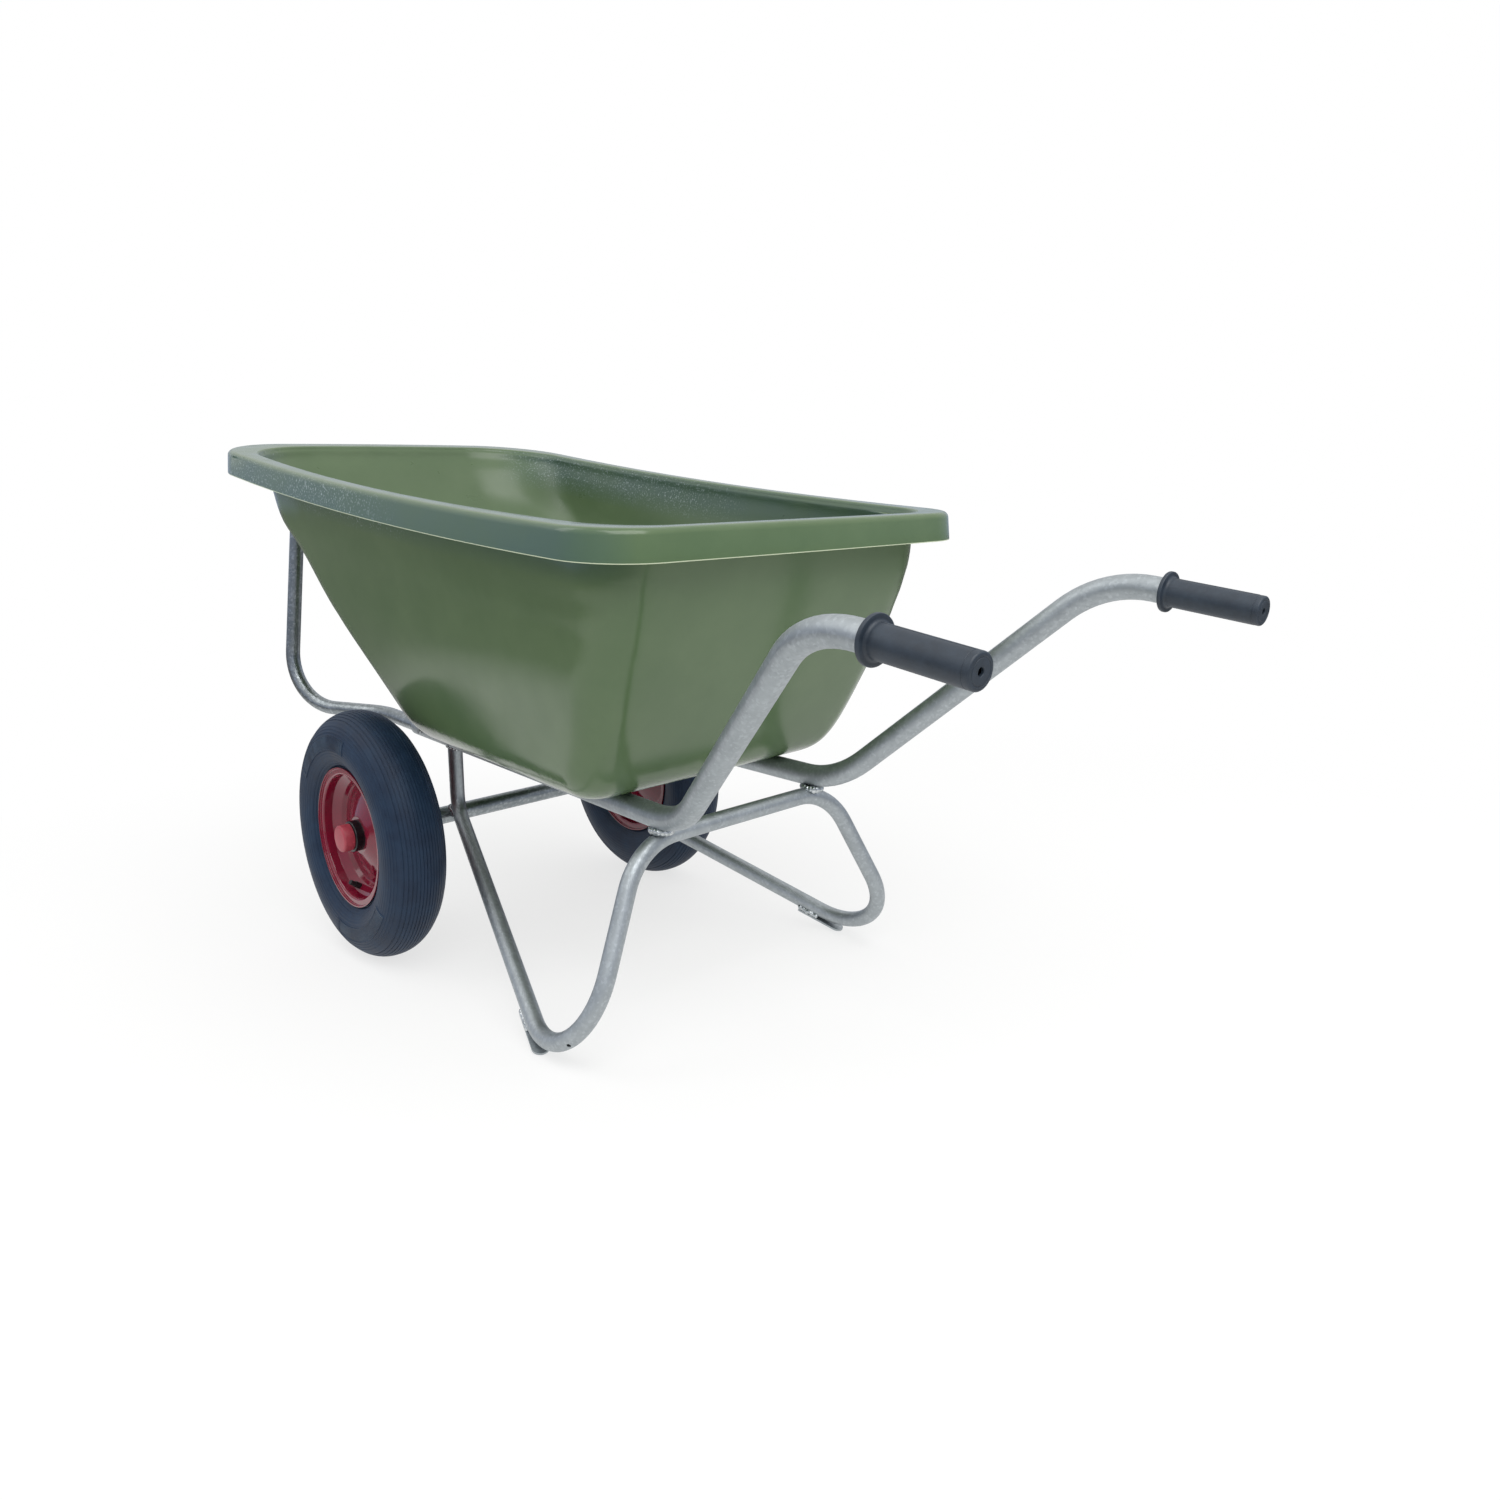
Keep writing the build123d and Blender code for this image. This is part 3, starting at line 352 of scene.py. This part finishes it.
finishOf = {
    "tub": polyethylene, "front_hoop": galvanisedDark, "leg_frame": galvanised, "axle_bar": galvanisedDark,
    "handle_rail": galvanised, "foot_plate": galvanised, "grip": gripRubber, "hub_cap": capPlastic,
    "tub_screws": zincPlate, "tub_washers": zincPlate, "thrust_washers": zincPlate,
    "outer_washers": zincPlate, "axle_clips": zincPlate, "hoop_bolts": zincPlate, "hoop_nuts": zincPlate,
    "tyre": tyreRubber, "inner_tube": butyl, "rim_outer_half": enamel, "rim_inner_half": enamel,
    "hub_tube": enamel, "outer_bush": nylon, "inner_bush": nylon, "valve_stem": butyl, "valve_cap": butyl,
}
for name, node in nodes.items():
    kind = name.replace("left_", "").replace("right_", "")
    node.data.materials.clear()
    node.data.materials.append(finishOf[kind])


# turns a shape drawn in millimetres into a piece that stands in the scene and moves with its body
def finishPiece(name, shape, place, body, materials, sharpFrom=32):
    bmesh.ops.remove_doubles(shape, verts=shape.verts, dist=mergeWithin)
    bmesh.ops.recalc_face_normals(shape, faces=shape.faces)
    for face in shape.faces:
        face.smooth = True
    shape.transform(place)
    mesh = bpy.data.meshes.new(name)
    shape.to_mesh(mesh)
    shape.free()
    mesh.set_sharp_from_angle(angle=math.radians(sharpFrom))
    for material in materials:
        mesh.materials.append(material)
    piece = bpy.data.objects.new(name, mesh)
    bpy.context.scene.collection.objects.link(piece)
    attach(piece, body)
    return piece


# an outline of straight runs in the plane of X, the radius, and Y; returns its last vertex
def startOutline(shape, points):
    corners = [shape.verts.new((x, y, 0)) for x, y in points]
    for first, second in zip(corners, corners[1:]):
        shape.edges.new((first, second))
    return corners[-1]


# carries an outline on from a vertex along the arc through two more points
def arcOn(shape, start, through, end, steps):
    a, b, c = start.co.to_2d(), Vector(through), Vector(end)
    turn = 2 * (a.x * (b.y - c.y) + b.x * (c.y - a.y) + c.x * (a.y - b.y))
    square = [p.length_squared for p in (a, b, c)]
    centre = Vector((
        (square[0] * (b.y - c.y) + square[1] * (c.y - a.y) + square[2] * (a.y - b.y)) / turn,
        (square[0] * (c.x - b.x) + square[1] * (a.x - c.x) + square[2] * (b.x - a.x)) / turn))
    sweep = (a - centre).angle_signed(c - centre)  # clockwise is positive
    spun = bmesh.ops.spin(shape, geom=[start], cent=centre.to_3d(), axis=(0, 0, 1), angle=-sweep, steps=steps)
    return next(v for v in spun["geom_last"] if isinstance(v, bmesh.types.BMVert))


def lineOn(shape, start, *points):
    for x, y in points:
        corner = shape.verts.new((x, y, 0))
        shape.edges.new((start, corner))
        start = corner
    return start


def closeOutline(shape, last):
    shape.verts.ensure_lookup_table()
    shape.edges.new((last, shape.verts[0]))


def spinRound(shape, steps):
    bmesh.ops.spin(shape, geom=shape.verts[:] + shape.edges[:], cent=(0, 0, 0), axis=(0, 1, 0),
                   angle=2 * math.pi, steps=steps, use_merge=True)
    bmesh.ops.remove_doubles(shape, verts=shape.verts, dist=mergeWithin)
    bmesh.ops.recalc_face_normals(shape, faces=shape.faces)


def reachOf(face):  # how far a face lies from the axis of its spin
    centre = face.calc_center_median()
    return math.hypot(centre.x, centre.z)


print("stage: tub")

tubShape = {
    "rimFrom": 5, "fullAt": 46, "to": 123,  # depths under the rim's top between which the wall is drawn in
    "side": 18, "sideRear": 30, "nose": 31,  # how far the sides and the nose are drawn in at the most
    "wallY": 300, "skirtReach": 10, "mergeSeams": 0.01,
    # the rim's outline: half widths, corner radii and how far each run bows outwards
    "frontY": 329, "rearY": 321, "frontRadius": 149, "rearRadius": 85,
    "bowSide": 10.8, "bowFront": 19.3, "bowRear": 3.3,
}


# how far a point lies inside the rim's outline
def insideRim(x, y):
    s, f = tubShape, tubFinish
    u = (x - f["middleX"]) / (f["rearX"] - f["middleX"])
    half = (s["frontY"] + s["rearY"]) / 2 - u * (s["frontY"] - s["rearY"]) / 2 + s["bowSide"] * (1 - u * u)
    side = half - abs(y)
    swell = 1 - (y / s["frontY"]) ** 2
    end = f["rearX"] + s["bowRear"] * swell - x if u > 0 else x - f["frontX"] + s["bowFront"] * swell
    radius = s["rearRadius"] if u > 0 else s["frontRadius"]
    if side < radius and end < radius:
        return radius - math.hypot(radius - side, radius - end)
    return min(side, end)


# the wall stands straight from the floor up to the inner edge of the rim
def makeTubShell():
    s, f = tubShape, tubFinish
    shape = bmesh.new()
    shape.from_mesh(nodes["tub"].data)
    shape.transform(standing.inverted())
    bmesh.ops.remove_doubles(shape, verts=shape.verts, dist=s["mergeSeams"])
    for vert in shape.verts:
        x, y, z = vert.co
        u = (x - f["middleX"]) / (f["rearX"] - f["middleX"])
        depth = f["rearTop"] + f["slope"] * (f["rearX"] - x) - f["dip"] * (1 - u * u) - z
        if not s["rimFrom"] < depth < s["to"] or insideRim(x, y) < s["skirtReach"]:
            continue
        if depth < s["fullAt"]:
            share = math.sin(math.pi / 2 * (depth - s["rimFrom"]) / (s["fullAt"] - s["rimFrom"]))
        else:
            share = 0.5 + 0.5 * math.cos(math.pi * (depth - s["fullAt"]) / (s["to"] - s["fullAt"]))
        draw = s["side"] + (s["sideRear"] - s["side"]) * max(u, 0)
        vert.co.y -= y / s["wallY"] * draw * share
        vert.co.x += max(-u, 0) * s["nose"] * share
    shell = finishPiece("tub_shell", shape, standing, "frame", (polyethylene,), 40)
    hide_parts("tub")


makeTubShell()

print("stage: tyres")

tyreShape = {
    "seat": 102.55, "heel": 31.95, "toe": 1.5, "flange": 114, "belly": (151, 49), "shoulder": (184, 36.8),
    "tread": (195.4, 22), "crown": 200, "steps": 144, "sidewallSteps": 44, "treadSteps": 22,
    "grooves": 13, "groovePitch": 5.3, "groove": (1.4, 0.8),  # width and depth
    "rings": (119.5, 124.5, 171, 175.5, 180), "ringWidth": 1.5, "ringHeight": 0.45, "ringsBeyondY": 33,
    "plate": (142.5, 167), "plateAngles": (-15, 55), "borderHeight": 1.1, "hollow": 0.7,
    "flank": 0.3, "border": 0.6,  # widths of the sloped edges of grooves and rings, and of plates
}


def makeTyre(side, name, body):
    s = tyreShape
    shape = bmesh.new()
    seat, heel = s["seat"], s["heel"]
    corner = startOutline(shape, (
        (seat, 0), (seat, heel - s["toe"]), (seat + s["toe"], heel), (s["flange"], heel)))
    corner = arcOn(shape, corner, s["belly"], s["shoulder"], s["sidewallSteps"])
    corner = arcOn(shape, corner, s["tread"], (s["crown"], 0), s["treadSteps"])
    # an edge at each side of every fine groove
    cuts = [i * s["groovePitch"] for i in range((s["grooves"] + 1) // 2)]
    width, depth = s["groove"]
    for y in cuts:
        for edge in (y - width / 2, y + width / 2):
            tread = [e for e in shape.edges if min(v.co.x for v in e.verts) > s["shoulder"][0]]
            bmesh.ops.bisect_plane(shape, geom=tread, dist=0.01, plane_co=(0, max(edge, 0), 0),
                                   plane_no=(0, 1, 0))
    bmesh.ops.mirror(shape, geom=shape.verts[:] + shape.edges[:], merge_dist=0.01, axis="Y")
    spinRound(shape, s["steps"])
    for y in cuts:
        for place in {y, -y}:
            band = [f for f in shape.faces if reachOf(f) > s["shoulder"][0]
                    and abs(f.calc_center_median().y - place) < width / 2]
            bmesh.ops.inset_region(shape, faces=band, thickness=s["flank"], depth=-depth, use_even_offset=True)
    for ring in s["rings"]:
        band = [f for f in shape.faces if abs(reachOf(f) - ring) < s["ringWidth"] / 2
                and abs(f.calc_center_median().y) > s["ringsBeyondY"]]
        bmesh.ops.inset_region(shape, faces=band, thickness=s["flank"], depth=s["ringHeight"],
                               use_even_offset=True)
    # a plain raised plate on the outer sidewall, and one opposite
    for turned in (0, 180):
        plate = []
        for face in shape.faces:
            centre = face.calc_center_median()
            angle = (math.degrees(math.atan2(-centre.x, centre.z)) + turned + 180) % 360 - 180
            onPlate = s["plate"][0] < reachOf(face) < s["plate"][1] and centre.y * side > 0
            if onPlate and s["plateAngles"][0] < angle < s["plateAngles"][1]:
                plate.append(face)
        shape.normal_update()
        bmesh.ops.inset_region(shape, faces=plate, thickness=s["border"], depth=s["borderHeight"],
                               use_even_offset=True)
        shape.normal_update()
        inPlate = set(plate)
        hollow = [f for f in plate if all(near in inPlate for e in f.edges for near in e.link_faces)]
        bmesh.ops.inset_region(shape, faces=hollow, thickness=s["border"], depth=-s["hollow"],
                               use_even_offset=True)
        for face in plate:
            face.material_index = 1
    place = Matrix.Translation(wheelAt[name]) @ Matrix.Scale(mm, 4)
    casing = finishPiece(f"{name}_tyre_casing", shape, place, body,
                         (tyreRubber, plateRubber), 40)
    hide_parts(f"{name}_tyre")


for name, side in sides.items():
    makeTyre(side, name, f"{name}_wheel")

print("stage: hub caps")

capShape = {
    "radius": 21.6, "wall": 2, "mouth": 32.6, "depth": 17.5, "round": 3.6, "dome": 0.7, "bore": 13.4,
    "steps": 72, "roundSteps": 8,
}


def makeHubCap(side, name, body):
    s = capShape
    shape = bmesh.new()
    radius, mouth, top = s["radius"], s["mouth"], s["mouth"] + s["depth"]
    inner, floor = radius - s["wall"], top - s["wall"]
    corner = startOutline(shape, (
        (0, floor), (s["bore"], floor), (inner, floor), (inner, mouth), (radius, mouth),
        (radius, top - s["round"])))
    flat, bend = radius - s["round"], s["round"] * math.sqrt(0.5)
    corner = arcOn(shape, corner, (flat + bend, top - s["round"] + bend - s["dome"]),
                   (flat, top - s["dome"]), s["roundSteps"])
    lineOn(shape, corner, (0, top))
    spinRound(shape, s["steps"])
    place = Matrix.Translation(wheelAt[name]) @ Matrix.Scale(mm, 4)
    if side < 0:
        place = place @ Matrix.Scale(-1, 4, (0, 1, 0))
        bmesh.ops.reverse_faces(shape, faces=shape.faces)
    cap = finishPiece(f"{name}_hub_cup", shape, place, body, (capPlastic,))
    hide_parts(f"{name}_hub_cap")


capBody = {node: body for body, members in record["behaviour"]["bodies"].items() for node in members}
for name, side in sides.items():
    makeHubCap(side, name, capBody[f"{name}_hub_cap"])

print("stage: grips")

gripShape = {
    "end": (1180, 267.7, 417.1), "bend": (982, 265.3, 440.4),  # the handle's straight run, in millimetres
    "radius": 17.5, "length": 112.5, "wall": 3, "hole": 4, "bore": 16.05, "round": 2.4,
    "ring": (11.5, 12.1, 13.1, 13.7), "ringDepth": 0.5,  # shallow ring in the end face, from inside out
    "groove": (6.4, 6.8, 7.6, 8), "grooveDepth": 0.35,  # fine groove round the barrel, from the end face
    "flange": 24.9, "flangeThick": 5, "flangeRound": 1.2, "flangeBend": 0.35, "neck": 3.6, "steps": 96,
    "seam": 0.35, "seamWidth": 2.4, "flank": 0.3, "roundSteps": 6,
}
midArc = 1 - math.sqrt(0.5)  # how far the middle of a rounded corner stays behind its sides


def makeGrip(side, name):
    s = gripShape
    shape = bmesh.new()
    radius, length, edge, neck = s["radius"], s["length"], s["round"], s["neck"]
    # drawn back from its end face: hole, shallow ring, rounded edge, barrel, neck, guard flange, bore
    hole, dip, (ringIn, ringDeep, ringShoal, ringOut) = s["hole"], s["ringDepth"], s["ring"]
    corner = startOutline(shape, (
        (hole, -dip), (hole + dip, 0), (ringIn, 0), (ringDeep, -dip), (ringShoal, -dip), (ringOut, 0),
        (radius - edge, 0)))
    corner = arcOn(shape, corner, (radius - edge * midArc, -edge * midArc), (radius, -edge), s["roundSteps"])
    waist, (grooveFrom, deepFrom, deepTo, grooveTo) = radius - s["grooveDepth"], s["groove"]
    corner = lineOn(shape, corner, (radius, -grooveFrom), (waist, -deepFrom), (waist, -deepTo),
                    (radius, -grooveTo), (radius, neck - length))
    corner = arcOn(shape, corner, (radius + neck * midArc, neck * midArc - length), (radius + neck, -length),
                   s["roundSteps"])
    flange, back = s["flange"], -length - s["flangeThick"]
    around, bend = s["flangeRound"], s["flangeBend"]
    corner = lineOn(
        shape, corner, (flange - around, -length), (flange - bend, -length - bend), (flange, -length - around),
        (flange, back + around), (flange - bend, back + bend), (flange - around, back), (s["bore"], back),
        (s["bore"], -s["wall"]), (hole, -s["wall"]))
    closeOutline(shape, corner)
    spinRound(shape, s["steps"])
    # the mould's parting line along the top and bottom of the barrel
    barrel = [f for f in shape.faces if abs(reachOf(f) - radius) < 0.1 and f.calc_center_median().y < -grooveTo]
    for sign in (1, -1):
        seam = [f for f in barrel if sign * f.calc_center_median().z > 0
                and abs(f.calc_center_median().x) < s["seamWidth"] / 2]
        bmesh.ops.inset_region(shape, faces=seam, thickness=s["flank"], depth=s["seam"], use_even_offset=True)
    along = Vector([e - b for e, b in zip(s["end"], s["bend"])]).normalized()
    across = Vector((0, 0, 1)).cross(along).normalized()
    turn = Matrix((-across, along, (-across).cross(along))).transposed().to_4x4()
    place = Matrix.Translation(s["end"]) @ turn
    if side < 0:
        place = Matrix.Scale(-1, 4, (0, 1, 0)) @ place
        bmesh.ops.reverse_faces(shape, faces=shape.faces)
    grip = finishPiece(f"{name}_grip_sleeve", shape, standing @ place, "frame",
                       (gripRubber,))
    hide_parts(f"{name}_grip")


for name, side in sides.items():
    makeGrip(side, name)

print("stage: welds")

weldShape = {
    "voxel": 0.7, "lump": 0.5, "lumpSize": 4,
    "uneven": (0.88, 1.14), "stray": 0.5,  # how drops differ in size and place
    "crossbar": {"at": (593, 140.5, 115.2), "reach": (15, 12), "size": (4.8, 4.6, 5.4), "count": 18,
                 "centreSize": (14, 11, 3.5)},
    "axle": {"at": (12.2, 127.3, 7.8), "along": (-0.55, 0.1, 0.83), "gap": 8.2, "length": 17,
             "outboardSize": 4.255, "inboardSize": 2.96, "count": 7},
    "postTop": {"at": (14.2, 125.3), "ring": 12.8, "rail": 16, "railZ": 132.3, "sunk": 0.6, "size": 2.7,
                "count": 18},
    "foot": {"start": (484, 274.55, -146.05), "along": (0.9087, 0.2887, -0.3017),
             "down": (-0.2875, -0.0913, -0.9534), "lap": 34, "depth": 8.6, "across": 8.8, "size": 4.5,
             "count": 12},
}
draw = random.Random(8)


# one drop of weld metal, a little uneven in size
def addDrop(shape, point, size):
    s = weldShape
    sizes = size if isinstance(size, tuple) else (size,) * 3
    radii = [r * draw.uniform(*s["uneven"]) for r in sizes]
    centre = Vector(point) + Vector([draw.uniform(-s["stray"], s["stray"]) for _ in range(3)])
    matrix = Matrix.LocRotScale(centre, None, Vector(radii))
    bmesh.ops.create_icosphere(shape, subdivisions=2, radius=1, matrix=matrix)


# melts the drops of both sides into beads and lets their skin ripple
def finishWeld(name, shape):
    bmesh.ops.mirror(shape, geom=shape.verts[:] + shape.edges[:] + shape.faces[:], merge_dist=0, axis="Y")
    bmesh.ops.recalc_face_normals(shape, faces=shape.faces)
    mesh = bpy.data.meshes.new(name)
    shape.to_mesh(mesh)
    drops = bpy.data.objects.new(name, mesh)
    bpy.context.scene.collection.objects.link(drops)
    melt = drops.modifiers.new("melt", "REMESH")
    melt.mode = "VOXEL"
    melt.voxel_size = weldShape["voxel"]
    soften = drops.modifiers.new("soften", "SMOOTH")
    soften.iterations = 3
    soften.factor = 0.6
    melted = bpy.data.meshes.new_from_object(drops.evaluated_get(bpy.context.evaluated_depsgraph_get()))
    bpy.data.objects.remove(drops)
    shape.clear()
    shape.from_mesh(melted)
    shape.normal_update()
    for vert in shape.verts:
        vert.co += vert.normal * noise.noise(vert.co / weldShape["lumpSize"]) * weldShape["lump"]
    finishPiece(name, shape, standing, "frame", (weldMetal,), 60)


def makeCrossbarWelds():
    s = weldShape["crossbar"]
    shape = bmesh.new()
    for i in range(s["count"]):
        angle = 2 * math.pi * i / s["count"]
        x = s["at"][0] + s["reach"][0] * math.cos(angle)
        y = s["at"][1] + s["reach"][1] * math.sin(angle)
        addDrop(shape, (x, y, s["at"][2]), s["size"])
    addDrop(shape, s["at"], s["centreSize"])
    finishWeld("crossbar_welds", shape)


def makeAxleWelds():
    s = weldShape["axle"]
    shape = bmesh.new()
    along = Vector(s["along"]).normalized()
    for sign, size in ((1, s["outboardSize"]), (-1, s["inboardSize"])):
        for i in range(s["count"]):
            step = (i / (s["count"] - 1) - 0.5) * s["length"]
            addDrop(shape, Vector(s["at"]) + along * step + Vector((0, sign * s["gap"], 0)), size)
    finishWeld("axle_welds", shape)


# a ring of drops where each post meets the round of its rail
def makePostWelds():
    s = weldShape["postTop"]
    shape = bmesh.new()
    for i in range(s["count"]):
        angle = 2 * math.pi * i / s["count"]
        across = s["ring"] * math.sin(angle)
        height = s["railZ"] - math.sqrt(s["rail"] ** 2 - across ** 2) - s["sunk"]
        x = s["at"][0] + s["ring"] * math.cos(angle)
        addDrop(shape, (x, s["at"][1] + across, height), s["size"])
    finishWeld("post_welds", shape)


def makeFootWelds():
    s = weldShape["foot"]
    shape = bmesh.new()
    along, down = Vector(s["along"]), Vector(s["down"])
    across = along.cross(down)
    for sign in (1, -1):
        for i in range(s["count"]):
            point = Vector(s["start"]) + along * (-s["lap"] * (i + 0.5) / s["count"])
            point += down * s["depth"] + across * sign * s["across"]
            addDrop(shape, point, s["size"])
    finishWeld("foot_welds", shape)


makeCrossbarWelds()
makeAxleWelds()
makePostWelds()
makeFootWelds()

print("stage: studio")

studio = {
    # the floor in metres: its paper white is washed to plain white between the two fades
    "floorRadius": 30, "floorColour": "#f4f4f3", "wash": 0.72, "fadeFrom": 0.9, "fadeTo": 2.0,
    "mirroredFade": (1.2, 2.1), "farFloorMirrored": 0.22,
    # level at the horizon and overhead: of the world's light, and of what gloss mirrors
    "skyLight": (0.4, 0.85), "skyMirrored": (0.75, 1.0), "skyTo": 0.8, "horizon": "#c4d2f0", "horizonTo": 0.5,
    # lamps: place, size, power and aim
    "key": ((2.4, -0.7, 3.6), (3.4, 3.4), 116, (0, 0, 0.4)),
    "side": ((-1.35, -1.7, 2.8), (1.1, 2.5), 13, (-0.64, 0.29, 0.75)),
}


def makeFloor():
    shape = bmesh.new()
    bmesh.ops.create_circle(shape, cap_ends=True, segments=64, radius=studio["floorRadius"])
    mesh = bpy.data.meshes.new("studioFloor")
    shape.to_mesh(mesh)
    shape.free()
    floor = bpy.data.objects.new("studioFloor", mesh)
    bpy.context.scene.collection.objects.link(floor)
    # matt white paper, washed out to the white of the backdrop so that only a soft shadow stays
    material, tree, place = startFinish("whitePaper", Roughness=0.9, Specular_IOR_Level=0)
    shader = tree.nodes["Principled BSDF"]
    shader.inputs["Base Color"].default_value = linear(studio["floorColour"])
    distance = addNode(tree, "VectorMath", links={0: place}, operation="LENGTH").outputs["Value"]
    fade = addNode(tree, "MapRange", {
        "From Min": studio["fadeFrom"], "From Max": studio["fadeTo"], "To Min": studio["wash"], "To Max": 1},
        {"Value": distance})
    path = addNode(tree, "LightPath").outputs
    seen = addNode(tree, "Math", links={0: path["Is Camera Ray"], 1: path["Is Glossy Ray"]},
                   operation="MAXIMUM")
    share = addNode(tree, "Math", links={0: fade.outputs[0], 1: seen.outputs[0]}, operation="MULTIPLY")
    near, beyond = studio["mirroredFade"]
    far = addNode(tree, "MapRange", {
        "From Min": near, "From Max": beyond, "To Min": 0, "To Max": studio["farFloorMirrored"] - 1},
        {"Value": distance})
    level = addNode(tree, "Math", {2: 1}, {0: far.outputs[0], 1: path["Is Glossy Ray"]},
                    operation="MULTIPLY_ADD")
    white = addNode(tree, "Emission", links={"Strength": level.outputs[0]})
    mix = addNode(tree, "MixShader", links={0: share.outputs[0], 1: shader.outputs[0], 2: white.outputs[0]})
    tree.links.new(mix.outputs[0], tree.nodes["Material Output"].inputs["Surface"])
    floor.data.materials.append(material)


def makeWorld():
    # white for the camera; its light and its mirror image soften from overhead down to the horizon
    world = bpy.data.worlds.new("studioWhite")
    world.use_nodes = True
    bpy.context.scene.world = world
    tree = world.node_tree
    way = addNode(tree, "SeparateXYZ", links={0: addNode(tree, "TexCoord").outputs["Generated"]})
    path = addNode(tree, "LightPath").outputs
    light, mirrored = [
        addNode(tree, "MapRange", {"From Max": studio["skyTo"], "To Min": low, "To Max": high},
                {"Value": way.outputs["Z"]})
        for low, high in (studio["skyLight"], studio["skyMirrored"])]
    lit = addNode(tree, "Mix", links={
        0: path["Is Glossy Ray"], 2: light.outputs[0], 3: mirrored.outputs[0]})
    direct = addNode(tree, "Math", links={0: path["Is Camera Ray"], 1: path["Is Transmission Ray"]},
                     operation="MAXIMUM")
    strength = addNode(tree, "Mix", {3: 1}, {0: direct.outputs[0], 2: lit.outputs[0]})
    tree.links.new(strength.outputs[0], tree.nodes["Background"].inputs["Strength"])
    tint = addNode(tree, "MapRange", {"From Max": studio["horizonTo"], "To Min": 1, "To Max": 0},
                   {"Value": way.outputs["Z"]})
    share = addNode(tree, "Math", links={0: tint.outputs[0], 1: path["Is Glossy Ray"]}, operation="MULTIPLY")
    colour = addNode(tree, "Mix", {6: (1, 1, 1, 1), 7: linear(studio["horizon"])}, {0: share.outputs[0]},
                     data_type="RGBA")
    tree.links.new(colour.outputs[2], tree.nodes["Background"].inputs["Color"])


def addLamp(name):
    place, size, power, aim = studio[name]
    lamp = bpy.data.lights.new(name, "AREA")
    lamp.shape = "RECTANGLE"
    lamp.size, lamp.size_y = size
    lamp.energy = power
    holder = bpy.data.objects.new(name, lamp)
    bpy.context.scene.collection.objects.link(holder)
    holder.location = place
    holder.rotation_euler = (Vector(aim) - Vector(place)).to_track_quat("-Z", "Y").to_euler()


makeFloor()
makeWorld()
for name in ("key", "side"):
    addLamp(name)

print("stage: camera")

view = {
    "place": (1.36495, -1.00402, 0.69527), "heading": 47.055, "pitch": -7.173, "roll": -2.281,
    "lens": 26.881, "shift": (-0.00846, -0.0673), "sensor": 36, "nearest": 0.05,
}


def makeCamera():
    camera = bpy.data.cameras.new("camera")
    camera.lens = view["lens"]
    camera.sensor_width = view["sensor"]
    camera.shift_x, camera.shift_y = view["shift"]
    camera.clip_start = view["nearest"]
    holder = bpy.data.objects.new("camera", camera)
    bpy.context.scene.collection.objects.link(holder)
    turn = Matrix.Rotation(math.radians(view["heading"]), 4, "Z")
    nod = Matrix.Rotation(math.radians(90 + view["pitch"]), 4, "X")
    lean = Matrix.Rotation(math.radians(view["roll"]), 4, "Z")
    holder.matrix_world = Matrix.Translation(view["place"]) @ turn @ nod @ lean
    bpy.context.scene.camera = holder


makeCamera()
bpy.context.scene.view_settings.view_transform = "Standard"
